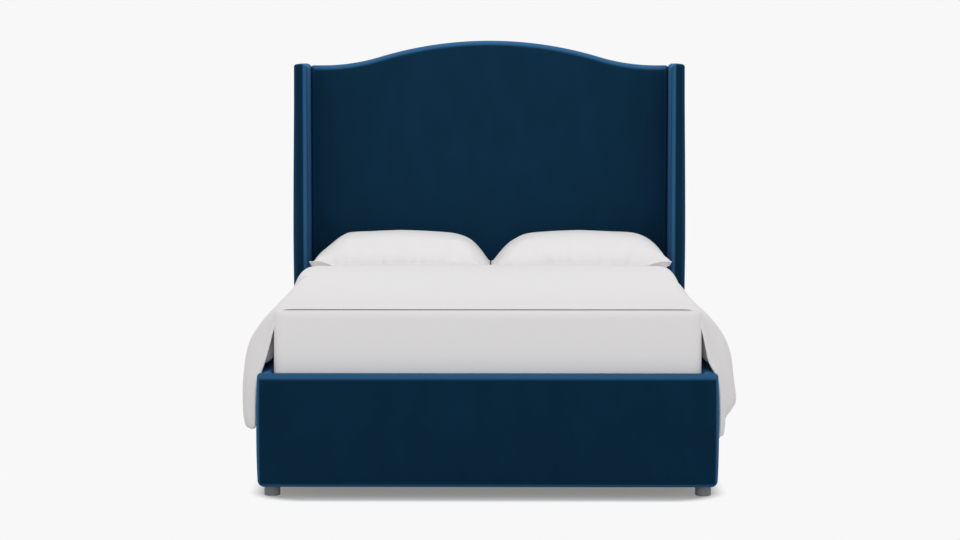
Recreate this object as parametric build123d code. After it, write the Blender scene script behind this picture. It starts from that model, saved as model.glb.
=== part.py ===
"""A queen-size wingback bed, with its padded rails, slats, mattress and bedding.

Millimetres, +Z up. The origin is on the floor under the middle of the bed. The foot points to -Y and the
headboard to +Y. Left is -X, as seen from the foot.
"""

import math
import os

from build123d import *

LEFT, RIGHT = -1, 1
SIDES = {"left": LEFT, "right": RIGHT}

# Mattress, a queen of 60 by 80 inches
mattress_width = 1524
mattress_length = 2032
mattress_height = 305
mattress_corner_radius = 45
mattress_edge_radius = 22
ticking = 4
sheet = 1
mattress_side_gap = 7
mattress_end_gap = 6
soft_clearance = 0.4

# Upholstery and boards
velvet = 2
board = 28
plywood = 12
rail_foam = 19
foot_foam = 24
wing_foam = 12
headboard_foam = 40

# Base rails
rail_bottom = 38
rail_top = 445
rail_edge_radius = 17
rail_inner_edge_radius = 9
rail_bulge = 6
rail_end_radius = 14
velvet_turn_down = 55

# Headboard and wings
shoulder_height = 1513
crest_rise = 106
shoulder_flat = 49
crest_radius_share = 0.656
panel_edge_radius = 22
panel_shoulder_radius = 10
wing_rise = 8
wing_depth = 200
wing_edge_radius = 15
post_width = 70
post_depth = 32
frame_rail_height = 90
middle_rail_height = 760

# Slats and their support
slat_count = 14
slat_width = 70
slat_thickness = 18
slat_end_gap = 4
mattress_base = 350
ledger_width = 30
ledger_height = 45
beam_width = 45
beam_height = 70
beam_end_gap = 6
hanger_steel = 3
hanger_depth = 50
leg_size = 45
leg_count = 2
leg_bottom = 26
glide_disc_radius = 20
glide_disc_height = 8
glide_stud_radius = 5
glide_stud_length = 70
glide_travel = 12

# Feet and corner blocks
foot_radius = 28.5
foot_inset_x = 47
foot_inset_y = 87
foot_edge_radius = 3
stud_radius = 4
stud_length = 20
block_size = 150
block_thickness = 20

# Brackets and fasteners
bracket_steel = 4
bracket_leg = 60
bracket_height = 120
bolt_radius = 4
bolt_head_radius = 8
bolt_head_height = 4
bolt_reach = 16
screw_radius = 2.5
screw_head_radius = 4.5
screw_head_height = 3
slat_screw_length = 30
ledger_screw_length = 44
ledger_screw_count = 7
wing_bolt_length = 60
wing_bolt_count = 3
leg_screw_length = 110
hanger_screw_length = 22

# Bedding
pillow_depth = 480
pillow_height = 160
pillow_tip_height = 34
pillow_middle_gap = 10
pillow_side_gap = 5
pillow_front_gap = 12
duvet_thickness_foot = 14
duvet_thickness_head = 38
drape_thickness = 12
drape_stand_off = 73
drape_turn_radius = 70
foot_tuck_height = 380
foot_tuck_thickness = 3
fold_back_length = 210
fold_back_lift = 6

overrun = 5

# Places that follow from the sizes above
rail_thickness = velvet + board + rail_foam + velvet
foot_rail_thickness = velvet + board + foot_foam + velvet
wing_thickness = 2 * velvet + 2 * wing_foam + board
inner_half = mattress_width / 2 + mattress_side_gap
rail_outer = inner_half + rail_thickness
wing_outer = inner_half + wing_thickness
crest_half_span = inner_half - shoulder_flat
drape_reach = rail_outer + drape_stand_off
pillow_width = (mattress_width - pillow_middle_gap) / 2 - pillow_side_gap
duvet_head_gap = pillow_depth + pillow_front_gap
headboard_thickness = velvet + headboard_foam + plywood + post_depth + velvet
wing_hook_length = bracket_steel + velvet + wing_foam + bolt_reach
overall_length = (
    rail_bulge
    + foot_rail_thickness
    + mattress_end_gap
    + mattress_length
    + mattress_end_gap
    + headboard_thickness
)
foot_front = -overall_length / 2 + rail_bulge
foot_back = foot_front + foot_rail_thickness
mattress_foot = foot_back + mattress_end_gap
mattress_head = mattress_foot + mattress_length
panel_front = mattress_head + mattress_end_gap
panel_back = panel_front + headboard_thickness
wing_front = panel_front - wing_depth
wing_height = shoulder_height + wing_rise
mattress_top = mattress_base + mattress_height
slat_bottom = mattress_base - slat_thickness
beam_bottom = slat_bottom - beam_height
board_inner = inner_half + velvet
board_outer = board_inner + board
foot_board_back = foot_back - velvet
foot_board_front = foot_board_back - board
frame_front = panel_front + velvet + headboard_foam + plywood
frame_back = frame_front + post_depth


def block(x, y, z):
    """A box between the two values in each of x, y and z."""
    size = [abs(high - low) for low, high in (x, y, z)]
    middle = [(low + high) / 2 for low, high in (x, y, z)]
    return Pos(*middle) * Box(*size)


def rod(centre, radius, length, direction):
    """A round bar that starts at centre and runs along direction."""
    return extrude(Plane(origin=centre, z_dir=direction) * Circle(radius), length)


def fastener(head, direction, radius, length, head_radius, head_height):
    """A bolt or screw whose head's underside is at head, with its shank along direction."""
    shank = rod(head, radius, length, direction)
    cap = rod(head, head_radius, head_height, tuple(-d for d in direction))
    return shank + cap


def shanks(places, direction, radius, length):
    """The holes that a row of fasteners needs."""
    return [rod(place, radius, length, direction) for place in places]


def solids_of(shapes):
    """Separate solids kept together in one node."""
    return Compound(children=[s for shape in shapes for s in shape.solids()])


def corner_arc(start, corner, end):
    """A quarter round from start to end about a square corner."""
    middle = [c + (s + e - 2 * c) * (1 - math.sqrt(1 / 2)) for s, c, e in zip(start, corner, end)]
    return ThreePointArc(start, tuple(middle), end)


def padded_section(plane, inner, outer, bottom, top, outer_radius, inner_radius, bulge):
    """The closed section of a padded rail: rounded top edges and a full outer face."""
    out = math.copysign(1, outer - inner)
    r = out * outer_radius
    s = out * inner_radius
    edges = [
        Line((inner, bottom), (outer - r, bottom)),
        corner_arc((outer - r, bottom), (outer, bottom), (outer, bottom + outer_radius)),
        ThreePointArc(
            (outer, bottom + outer_radius),
            (outer + out * bulge, (bottom + top) / 2),
            (outer, top - outer_radius),
        ),
        corner_arc((outer, top - outer_radius), (outer, top), (outer - r, top)),
        Line((outer - r, top), (inner + s, top)),
        corner_arc((inner + s, top), (inner, top), (inner, top - inner_radius)),
        Line((inner, top - inner_radius), (inner, bottom)),
    ]
    return plane * make_face(Wire(edges))


def rail_section(plane, inner, outer, inset):
    """The rail's section drawn in by inset, for its cover and for what the cover holds."""
    out = math.copysign(1, outer - inner)
    return padded_section(
        plane,
        inner + out * inset,
        outer - out * inset,
        rail_bottom + inset,
        rail_top - inset,
        rail_edge_radius - inset,
        rail_inner_edge_radius - inset,
        rail_bulge,
    )


def front_foot_centre(side):
    return (side * (rail_outer - foot_inset_x), foot_front + foot_inset_y)


def back_foot_centre(side):
    return (side * (inner_half + wing_thickness / 2), panel_front)


def foot_block(side):
    """A plywood block across the inside of a front corner, under both boards."""
    return block(
        (side * board_outer, side * (board_outer - block_size)),
        (foot_board_front, foot_board_front + block_size),
        (rail_bottom + velvet, rail_bottom + velvet + block_thickness),
    )


def foot_blocks():
    blocks = {}
    for name, side in SIDES.items():
        x, y = front_foot_centre(side)
        hole = rod((x, y, rail_bottom), stud_radius, stud_length, (0, 0, 1))
        blocks[f"front_{name}_foot_block"] = foot_block(side) - hole
    return blocks


def foot(x, y):
    """A turned cylinder with a threaded stud, standing on the floor."""
    body = rod((x, y, 0), foot_radius, rail_bottom, (0, 0, 1))
    body = fillet(body.edges().group_by(Axis.Z)[0], foot_edge_radius)
    return body + rod((x, y, rail_bottom), stud_radius, stud_length, (0, 0, 1))


def feet():
    made = {}
    for name, side in SIDES.items():
        made[f"front_{name}_foot"] = foot(*front_foot_centre(side))
        made[f"back_{name}_foot"] = foot(*back_foot_centre(side))
    return made


def ledger_screw_places(side):
    first = foot_back + bracket_leg
    step = (wing_front - bracket_leg - first) / (ledger_screw_count - 1)
    x = side * (board_inner - ledger_width)
    z = slat_bottom - ledger_height / 2
    return [(x, first + i * step, z) for i in range(ledger_screw_count)]


def slat_places():
    step = (mattress_length - slat_width) / (slat_count - 1)
    return [mattress_foot + slat_width / 2 + i * step for i in range(slat_count)]


def slat_screw_places(side):
    x = side * (board_inner - ledger_width / 2)
    return [(x, y, mattress_base - screw_head_height) for y in slat_places()]


def bracket_bolt_heights():
    middle = (rail_bottom + slat_bottom - ledger_height) / 2
    return [middle - bracket_height / 4, middle + bracket_height / 4]


def bracket(side, corner_y, direction, across_x):
    """A steel angle: one leg along the side rail's board, one across its end as far as across_x."""
    low, high = bracket_bolt_heights()
    z = (low - bracket_height / 4, high + bracket_height / 4)
    x_face = side * board_inner
    x_inside = x_face - side * bracket_steel
    along_rail = block((x_face, x_inside), (corner_y, corner_y + direction * bracket_leg), z)
    across = block((x_inside, side * across_x), (corner_y, corner_y + direction * bracket_steel), z)
    return along_rail + across


def foot_bracket(side):
    """The angle inside a front corner, between the side rail's board and the foot rail's."""
    return bracket(side, foot_board_back, 1, board_inner - bracket_leg)


def head_bracket(side):
    """The angle let into the end of a side rail, which the bolts in the wing's front edge hold."""
    return bracket(side, wing_front, -1, board_outer)


def along_bolt_places(side, corner_y, direction):
    """Where the bolts go through an angle into the side rail's board."""
    x = side * (board_inner - bracket_steel)
    y = corner_y + direction * bracket_leg / 2
    return [(x, y, z) for z in bracket_bolt_heights()]


def foot_bolt_places(side):
    """Where the bolts go through the foot angle into the foot rail's board."""
    x = side * (board_inner - bracket_leg / 2)
    return [(x, foot_board_back + bracket_steel, z) for z in bracket_bolt_heights()]


def wing_hook_places(side):
    """Where the bolts go through the head angle into the front edge of the wing's board."""
    x = side * (inner_half + velvet + wing_foam + bolt_radius + velvet)
    return [(x, wing_front - bracket_steel, z) for z in bracket_bolt_heights()]


def side_rail(name, side):
    """One side rail: board, foam, velvet cover, slat ledger."""
    length = wing_front - foot_back
    plane = Plane(origin=(0, foot_back, 0), x_dir=(1, 0, 0), z_dir=(0, -1, 0))
    outside = extrude(rail_section(plane, side * inner_half, side * rail_outer, 0), -length)
    inside = extrude(rail_section(plane, side * inner_half, side * rail_outer, velvet), -length)
    open_back = block(
        (side * inner_half, side * (board_inner + board / 2)),
        (foot_back, wing_front),
        (rail_bottom, rail_top - velvet_turn_down),
    )
    rail_board = block(
        (side * board_inner, side * board_outer),
        (foot_back, wing_front),
        (rail_bottom + velvet, rail_top - velvet - rail_foam),
    )
    bolt_length = bracket_steel + bolt_reach
    drilled = (
        shanks(ledger_screw_places(side), (side, 0, 0), screw_radius, ledger_screw_length)
        + shanks(along_bolt_places(side, foot_board_back, 1), (side, 0, 0), bolt_radius, bolt_length)
        + shanks(along_bolt_places(side, wing_front, -1), (side, 0, 0), bolt_radius, bolt_length)
        + shanks(wing_hook_places(side), (0, -1, 0), bolt_head_radius, bolt_head_height)
        + [head_bracket(side)]
    )
    ledger = block(
        (side * board_inner, side * (board_inner - ledger_width)),
        (foot_back, wing_front - bracket_steel),
        (slat_bottom - ledger_height, slat_bottom),
    )
    ledger_holes = (
        shanks(ledger_screw_places(side), (side, 0, 0), screw_radius, ledger_screw_length)
        + shanks(slat_screw_places(side), (0, 0, -1), screw_radius, slat_screw_length)
    )
    return {
        f"{name}_side_rail_board": rail_board - foot_block(side) - drilled,
        f"{name}_side_rail_foam": inside - rail_board - foot_block(side) - open_back - head_bracket(side),
        f"{name}_side_rail_cover": outside - inside - open_back,
        f"{name}_slat_ledger": ledger - ledger_holes,
    }


def foot_rail():
    """The rail across the foot: board, foam and a velvet cover with closed, rounded ends."""
    plane = Plane(origin=(0, 0, 0), x_dir=(0, 1, 0), z_dir=(1, 0, 0))

    def bar(half, inset, radius):
        body = extrude(rail_section(plane, foot_back, foot_front, inset), half, both=True)
        ends = [e for e in body.edges().filter_by(GeomType.CIRCLE) if e.length > (rail_top - rail_bottom) / 2]
        return fillet(ends, radius)

    outside = bar(rail_outer, 0, rail_end_radius)
    inside = bar(rail_outer - velvet, velvet, rail_end_radius - velvet)
    foot_board = block(
        (-board_outer, board_outer),
        (foot_board_front, foot_board_back),
        (rail_bottom + velvet, rail_top - velvet - foot_foam),
    )
    open_back = block(
        (-rail_outer + velvet, rail_outer - velvet),
        (foot_back, foot_board_back - board / 2),
        (rail_bottom, rail_top - velvet_turn_down),
    )
    blocks = [foot_block(side) for side in SIDES.values()]
    drilled = [
        hole
        for side in SIDES.values()
        for hole in shanks(foot_bolt_places(side), (0, -1, 0), bolt_radius, bracket_steel + bolt_reach)
    ] + hanger_holes(foot_board_back, -1)
    return {
        "foot_rail_board": foot_board - blocks - drilled,
        "foot_rail_foam": inside - foot_board - blocks - open_back,
        "foot_rail_cover": outside - inside - open_back,
    }


def camelback(inset, bottom, drop=0):
    """The headboard outline, drawn in by inset: flat shoulders and a crest of three arcs in line."""
    turn = 2 * math.atan(crest_rise / crest_half_span)
    both_radii = crest_half_span / math.sin(turn)
    crest_radius = both_radii * crest_radius_share - inset
    shoulder_radius = both_radii * (1 - crest_radius_share) + inset
    half = inner_half - inset
    shoulder = shoulder_height - inset - drop
    top = shoulder + crest_rise
    foot_of_crest = crest_half_span
    meet_x = crest_radius * math.sin(turn)
    meet_z = top - crest_radius * (1 - math.cos(turn))
    mid_x = foot_of_crest - shoulder_radius * math.sin(turn / 2)
    mid_z = shoulder + shoulder_radius * (1 - math.cos(turn / 2))
    r = max(panel_shoulder_radius - inset, velvet)
    edges = [
        Line((-half, bottom), (half, bottom)),
        Line((half, bottom), (half, shoulder - r)),
        corner_arc((half, shoulder - r), (half, shoulder), (half - r, shoulder)),
        Line((half - r, shoulder), (foot_of_crest, shoulder)),
        ThreePointArc((foot_of_crest, shoulder), (mid_x, mid_z), (meet_x, meet_z)),
        ThreePointArc((meet_x, meet_z), (0, top), (-meet_x, meet_z)),
        ThreePointArc((-meet_x, meet_z), (-mid_x, mid_z), (-foot_of_crest, shoulder)),
        Line((-foot_of_crest, shoulder), (-half + r, shoulder)),
        corner_arc((-half + r, shoulder), (-half, shoulder), (-half, shoulder - r)),
        Line((-half, shoulder - r), (-half, bottom)),
    ]
    plane = Plane(origin=(0, 0, 0), x_dir=(1, 0, 0), z_dir=(0, -1, 0))
    return plane * make_face(Wire(edges))


def panel_slab(inset, front, back, bottom, drop=0):
    """The camelback outline made solid from front to back."""
    return Pos(0, back, 0) * extrude(camelback(inset, bottom, drop), back - front)


def front_rounded(slab, front, radius):
    """Rolls the front edge along the top of a panel."""
    on_front = [e for e in slab.edges() if abs(e.center().Y - front) < velvet / 2]
    rolled = [e for e in on_front if e.center().Z > shoulder_height / 2]
    return fillet(rolled, radius)


def wing_bolt_places(side):
    """Where the bolts start on a wing board's outer face, in line with the headboard's post."""
    x = side * (inner_half + velvet + wing_foam + board)
    y = (frame_front + frame_back) / 2
    step = (shoulder_height - rail_top) / wing_bolt_count
    return [(x, y, rail_top + step * (i + 1 / 2)) for i in range(wing_bolt_count)]


def headboard():
    """Posts, rails, plywood, foam and the two covers of the headboard between the wings."""
    base = rail_bottom + velvet
    outside_slab = panel_slab(0, panel_front, frame_back, rail_bottom)
    outside = front_rounded(outside_slab, panel_front, panel_edge_radius)
    inside_slab = panel_slab(velvet, panel_front + velvet, frame_back + overrun, base)
    inside = front_rounded(inside_slab, panel_front + velvet, panel_edge_radius - velvet)
    ply_front = frame_front - plywood
    foam_zone = block(
        (-inner_half, inner_half), (panel_front, ply_front), (slat_bottom, shoulder_height + crest_rise)
    )
    half = inner_half - velvet
    frame_y = (frame_front, frame_back)
    lower = (slat_bottom - frame_rail_height, slat_bottom)
    bearer_x = (-half + panel_edge_radius, half - panel_edge_radius)
    under_crest = panel_slab(
        velvet,
        frame_front - overrun,
        frame_back + overrun,
        base - frame_rail_height - overrun,
        frame_rail_height,
    )
    crest_band = panel_slab(velvet, frame_front, frame_back, base) - under_crest
    wing_holes = [
        hole
        for side in SIDES.values()
        for hole in shanks(wing_bolt_places(side), (-side, 0, 0), bolt_radius, wing_bolt_length)
    ]
    post_top = shoulder_height - velvet - frame_rail_height
    beam_holes = hanger_holes(panel_front, 1)
    posts = {}
    for name, side in SIDES.items():
        post = block((side * half, side * (half - post_width)), frame_y, (base, post_top))
        posts[f"headboard_{name}_post"] = post - wing_holes
    made = {
        "headboard_front_cover": outside - inside - wing_holes - beam_holes,
        "headboard_foam": inside & foam_zone,
        "headboard_bearer": block(bearer_x, (panel_front + velvet, ply_front), lower) - beam_holes,
        "headboard_plywood": panel_slab(velvet, ply_front, frame_front, base),
        "headboard_crest_rail": crest_band - list(posts.values()),
        "headboard_back_cover": panel_slab(0, frame_back, panel_back, rail_bottom),
    }
    between = (-half + post_width, half - post_width)
    middle = (middle_rail_height, middle_rail_height + frame_rail_height)
    made["headboard_lower_rail"] = block(between, frame_y, lower)
    made["headboard_middle_rail"] = block(between, frame_y, middle)
    return made | posts


def wing(name, side):
    """One wing: a board wrapped in foam and velvet, standing at the end of the headboard."""

    def slab(inset, edge_radius):
        body = block(
            (side * (inner_half + inset), side * (wing_outer - inset)),
            (wing_front + inset, panel_back - inset),
            (rail_bottom + inset, wing_height - inset),
        )
        front = [e for e in body.edges().filter_by(Axis.Z) if e.center().Y < panel_front - wing_depth / 2]
        top = [e for e in body.edges() if e.center().Z > wing_height - inset - velvet]
        return fillet(front + top, edge_radius)

    outside = slab(0, wing_edge_radius)
    inside = slab(velvet, wing_edge_radius - velvet)
    x_inner = inner_half + velvet + wing_foam
    wing_board = block(
        (side * x_inner, side * (x_inner + board)),
        (wing_front + velvet + wing_foam, panel_back - velvet),
        (rail_bottom + velvet, wing_height - velvet - wing_edge_radius),
    )
    shaft = shanks(wing_bolt_places(side), (-side, 0, 0), bolt_radius, wing_bolt_length)
    heads = shanks(wing_bolt_places(side), (side, 0, 0), bolt_head_radius, bolt_head_height)
    x, y = back_foot_centre(side)
    stud = rod((x, y, rail_bottom), stud_radius, stud_length, (0, 0, 1))
    hooks = shanks(wing_hook_places(side), (0, 1, 0), bolt_radius, wing_hook_length)
    return {
        f"{name}_wing_board": wing_board - shaft - stud - hooks,
        f"{name}_wing_foam": inside - wing_board - shaft - heads - hooks,
        f"{name}_wing_cover": outside - inside - shaft - stud - hooks,
    }


def brackets_and_bolts():
    """Steel angles at the four rail ends, and every bolt of the frame."""
    made = {}
    bolts = []
    wing_bolts = []
    reach = bracket_steel + bolt_reach
    for name, side in SIDES.items():
        runs = [
            ("foot", foot_bracket(side), along_bolt_places(side, foot_board_back, 1), (side, 0, 0), reach),
            ("foot", None, foot_bolt_places(side), (0, -1, 0), reach),
            ("head", head_bracket(side), along_bolt_places(side, wing_front, -1), (side, 0, 0), reach),
            ("head", None, wing_hook_places(side), (0, 1, 0), wing_hook_length),
        ]
        for end, angle, places, direction, length in runs:
            node = f"{name}_{end}_bracket"
            if angle is not None:
                made[node] = angle
            made[node] -= shanks(places, direction, bolt_radius, length)
            bolts += [
                fastener(place, direction, bolt_radius, length, bolt_head_radius, bolt_head_height)
                for place in places
            ]
        wing_bolts += [
            fastener(place, (-side, 0, 0), bolt_radius, wing_bolt_length, bolt_head_radius, bolt_head_height)
            for place in wing_bolt_places(side)
        ]
    made["bed_bolts"] = solids_of(bolts)
    made["wing_bolts"] = solids_of(wing_bolts)
    return made


def slats():
    """The slats, and the screws that hold them and the ledgers."""
    half = board_inner - slat_end_gap
    boards = []
    slat_screws = []
    ledger_screws = []
    for i, y in enumerate(slat_places()):
        slat = block((-half, half), (y - slat_width / 2, y + slat_width / 2), (slat_bottom, mattress_base))
        for side in SIDES.values():
            place = slat_screw_places(side)[i]
            screw = fastener(
                place, (0, 0, -1), screw_radius, slat_screw_length, screw_head_radius, screw_head_height
            )
            slat -= screw
            slat_screws.append(screw)
        boards.append(slat)
    for side in SIDES.values():
        ledger_screws += [
            fastener(p, (side, 0, 0), screw_radius, ledger_screw_length, screw_head_radius, screw_head_height)
            for p in ledger_screw_places(side)
        ]
    return {
        "slats": solids_of(boards),
        "slat_screws": solids_of(slat_screws),
        "ledger_screws": solids_of(ledger_screws),
    }


def leg_places():
    step = mattress_length / (leg_count + 1)
    return [mattress_foot + (i + 1) * step for i in range(leg_count)]


def hanger_screw_places(face_y, direction):
    """Two screws through the back of a hanger, one above the other."""
    y = face_y - direction * hanger_steel
    return [(0, y, beam_bottom + beam_height * share) for share in (1 / 4, 3 / 4)]


def hanger_holes(face_y, direction):
    """The holes for a hanger's screws in what lies behind face_y, which they enter along direction."""
    places = hanger_screw_places(face_y, direction)
    return shanks(places, (0, direction, 0), screw_radius, hanger_screw_length)


def centre_support():
    """The beam under the slats, its end hangers, its legs and their levelling glides."""
    start = foot_board_back + hanger_steel + beam_end_gap
    stop = panel_front - hanger_steel - beam_end_gap
    beam = block((-beam_width / 2, beam_width / 2), (start, stop), (beam_bottom, slat_bottom))
    made = {}
    screws = []
    for name, y, direction in (("foot", foot_board_back, -1), ("head", panel_front, 1)):
        half = beam_width / 2 + hanger_steel
        cup = block(
            (-half, half), (y, y - direction * hanger_depth), (beam_bottom - hanger_steel, slat_bottom)
        )
        room = block(
            (-beam_width / 2, beam_width / 2),
            (y - direction * hanger_steel, y - direction * (hanger_depth + overrun)),
            (beam_bottom, slat_bottom + overrun),
        )
        made[f"beam_{name}_hanger"] = cup - room - hanger_holes(y, direction)
        screws += [
            fastener(
                place,
                (0, direction, 0),
                screw_radius,
                hanger_screw_length,
                screw_head_radius,
                screw_head_height,
            )
            for place in hanger_screw_places(y, direction)
        ]
    for i, y in enumerate(leg_places()):
        screw_top = (0, y, slat_bottom - screw_head_height)
        screw = fastener(
            screw_top, (0, 0, -1), screw_radius, leg_screw_length, screw_head_radius, screw_head_height
        )
        screws.append(screw)
        beam -= screw
        half_leg = leg_size / 2
        leg = block((-half_leg, half_leg), (y - half_leg, y + half_leg), (leg_bottom, beam_bottom))
        hole_length = glide_stud_length + glide_travel + overrun
        hole = rod((0, y, leg_bottom), glide_stud_radius + soft_clearance, hole_length, (0, 0, 1))
        made[f"centre_leg_{i + 1}"] = leg - hole - screw
        disc = rod((0, y, 0), glide_disc_radius, glide_disc_height, (0, 0, 1))
        stud = rod((0, y, glide_disc_height), glide_stud_radius, glide_stud_length, (0, 0, 1))
        made[f"levelling_glide_{i + 1}"] = disc + stud
    made["centre_beam"] = beam
    made["beam_screws"] = solids_of(screws)
    return made


def mattress_slab(inset, under):
    """The mattress form, drawn in by inset and raised by under: soft corners and rolled rims."""
    half = mattress_width / 2 - inset
    body = block(
        (-half, half),
        (mattress_foot + inset, mattress_head - inset),
        (mattress_base + under, mattress_top - inset),
    )
    body = fillet(body.edges().filter_by(Axis.Z), mattress_corner_radius - inset)
    rims = body.edges().group_by(Axis.Z)[0] + body.edges().group_by(Axis.Z)[-1]
    return fillet(rims, mattress_edge_radius - inset)


def mattress():
    """Foam core, ticking cover, and the bottom sheet pulled over the top and down the sides."""
    inside = mattress_slab(sheet + ticking, soft_clearance + ticking)
    cover = mattress_slab(sheet, soft_clearance)
    sheet_zone = block(
        (-mattress_width, mattress_width),
        (mattress_foot - overrun, mattress_head + overrun),
        (mattress_base + mattress_edge_radius, mattress_top + overrun),
    )
    return {
        "mattress_core": inside,
        "mattress_cover": cover - inside,
        "bottom_sheet": (mattress_slab(0, 0) - cover) & sheet_zone,
    }


# Along a pillow from its outer end to its inner one: place as a share of its width, then its height and its
# depth as shares
pillow_form_shares = [
    (0.0, 0.10, 0.94),
    (0.07, 0.42, 0.90),
    (0.16, 0.76, 0.93),
    (0.27, 0.95, 0.97),
    (0.47, 1.0, 1.0),
    (0.74, 0.97, 0.98),
    (0.88, 0.80, 0.95),
    (0.95, 0.52, 0.91),
    (1.0, 0.12, 0.93),
]


def pillow(side):
    """A crowned pillow, thin and drawn in at its two ends, flat where it lies on the sheet."""
    base = mattress_top + soft_clearance
    back = panel_front - mattress_end_gap
    middle_y = back - pillow_depth / 2
    outer_x = pillow_middle_gap / 2 + pillow_width
    sections = []
    for place_share, height_share, depth_share in pillow_form_shares:
        x = side * (outer_x - place_share * pillow_width)
        half = pillow_depth * depth_share / 2
        height = pillow_height * height_share
        seam = min(pillow_tip_height, height) / 2
        wire = Wire(
            [
                Line((middle_y - half, base), (middle_y + half, base)),
                Line((middle_y + half, base), (middle_y + half, base + seam)),
                ThreePointArc(
                    (middle_y + half, base + seam), (middle_y, base + height), (middle_y - half, base + seam)
                ),
                Line((middle_y - half, base + seam), (middle_y - half, base)),
            ]
        )
        plane = Plane(origin=(x, 0, 0), x_dir=(0, 1, 0), z_dir=(1, 0, 0))
        sections.append(plane * make_face(wire))
    return loft(sections)


# Down each side of the duvet, from foot to head: place as a share of its length, how far the hanging part
# stands out as a share of the room between the rail and the reach, the hem's height as a share of the rail's,
# the round over the mattress edge as a share of the largest one, and the steepness of the fall below it as a
# share of upright
left_drape_shares = [
    (0.0, 0.0, 0.62, 0.32, 0.80),
    (0.06, 0.55, 0.53, 0.60, 0.68),
    (0.14, 1.0, 0.50, 1.0, 0.60),
    (0.26, 0.50, 0.53, 1.0, 0.66),
    (0.39, 0.92, 0.50, 1.0, 0.61),
    (0.54, 0.42, 0.55, 1.0, 0.68),
    (0.69, 0.80, 0.52, 1.0, 0.63),
    (0.85, 0.36, 0.56, 1.0, 0.72),
    (1.0, 0.10, 0.60, 1.0, 0.86),
]
right_drape_shares = [
    (0.0, 0.0, 0.42, 0.32, 0.80),
    (0.05, 0.45, 0.44, 0.60, 0.70),
    (0.13, 1.0, 0.70, 1.0, 0.60),
    (0.24, 0.58, 0.54, 1.0, 0.66),
    (0.38, 0.90, 0.50, 1.0, 0.61),
    (0.53, 0.46, 0.54, 1.0, 0.68),
    (0.68, 0.84, 0.51, 1.0, 0.63),
    (0.84, 0.40, 0.56, 1.0, 0.72),
    (1.0, 0.12, 0.60, 1.0, 0.86),
]


def duvet_top(place_share):
    """How thick the duvet's flat top is at a share of its length."""
    return duvet_thickness_foot + (duvet_thickness_head - duvet_thickness_foot) * place_share


def drape_section(side, y, thickness, out_share, hem_share, turn_share, steep_share):
    """Half of the duvet across the bed at y: top, round over the mattress edge, fall and hem."""
    under = mattress_top + soft_clearance
    near = rail_outer + rail_bulge + soft_clearance
    fall_x = near + (drape_reach - drape_thickness - near) * out_share
    hem = rail_top * hem_share
    radius = max(drape_turn_radius * turn_share, mattress_edge_radius)
    turn = math.pi / 2 * steep_share
    centre_x = mattress_width / 2 - mattress_edge_radius
    centre_z = under - radius

    def round_point(grow, angle):
        r = radius + grow
        return (side * (centre_x + r * math.sin(angle)), centre_z + r * math.cos(angle))

    def fall_point(x, grow):
        start_x, start_z = round_point(grow, turn)
        return (side * x, start_z - (x - abs(start_x)) * math.tan(turn))

    half_grow = (thickness + drape_thickness) / 2
    outer_x = fall_x + drape_thickness
    edges = [
        Line((0, under + thickness), round_point(thickness, 0)),
        ThreePointArc(
            round_point(thickness, 0), round_point(half_grow, turn / 2), round_point(drape_thickness, turn)
        ),
        Line(round_point(drape_thickness, turn), fall_point(outer_x, drape_thickness)),
        Line(fall_point(outer_x, drape_thickness), (side * outer_x, hem)),
        Line((side * outer_x, hem), (side * fall_x, hem)),
        Line((side * fall_x, hem), fall_point(fall_x, 0)),
        Line(fall_point(fall_x, 0), round_point(0, turn)),
        ThreePointArc(round_point(0, turn), round_point(0, turn / 2), round_point(0, 0)),
        Line(round_point(0, 0), (0, under)),
        Line((0, under), (0, under + thickness)),
    ]
    plane = Plane(origin=(0, y, 0), x_dir=(1, 0, 0), z_dir=(0, -1, 0))
    return plane * make_face(Wire(edges))


def duvet():
    """One closed form: flat top, hanging sides with folds, tucked foot end, fold-back at the head."""
    start = mattress_foot
    stop = mattress_head - duvet_head_gap
    under = mattress_top + soft_clearance
    halves = []
    for side, shares in ((LEFT, left_drape_shares), (RIGHT, right_drape_shares)):
        sections = [
            drape_section(side, start + (stop - start) * place_share, duvet_top(place_share), *rest)
            for place_share, *rest in shares
        ]
        halves.append(loft(sections, ruled=True))
    half = mattress_width / 2 - mattress_edge_radius
    tuck_back = mattress_foot - soft_clearance
    tuck = block(
        (-half, half),
        (tuck_back, tuck_back - foot_tuck_thickness),
        (foot_tuck_height, under + duvet_thickness_foot),
    )
    bridge = block(
        (-half, half), (tuck_back - foot_tuck_thickness, start), (under, under + duvet_thickness_foot)
    )
    fold_back = block(
        (-half, half),
        (stop - fold_back_length, stop),
        (under + duvet_thickness_foot, under + duvet_thickness_head + fold_back_lift),
    )
    return halves[0] + halves[1] + tuck + bridge + fold_back


def bedding():
    made = {"duvet": duvet()}
    for name, side in SIDES.items():
        made[f"{name}_pillow"] = pillow(side)
    return made


def bed():
    """Every node of the bed, by name."""
    nodes = {}
    nodes |= headboard()
    for name, side in SIDES.items():
        nodes |= wing(name, side)
        nodes |= side_rail(name, side)
    nodes |= foot_rail()
    nodes |= foot_blocks()
    nodes |= feet()
    nodes |= brackets_and_bolts()
    nodes |= slats()
    nodes |= centre_support()
    nodes |= mattress()
    nodes |= bedding()
    return nodes


os.makedirs("parts", exist_ok=True)
for node, shape in bed().items():
    export_step(shape, f"parts/{node}.step")
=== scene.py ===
"""A queen-size wingback bed in blue velvet, dressed round its fixed frame.

Metres, +Z up. The foot points to -Y, the headboard to +Y, and left is -X as seen from the foot.
"""

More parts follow.
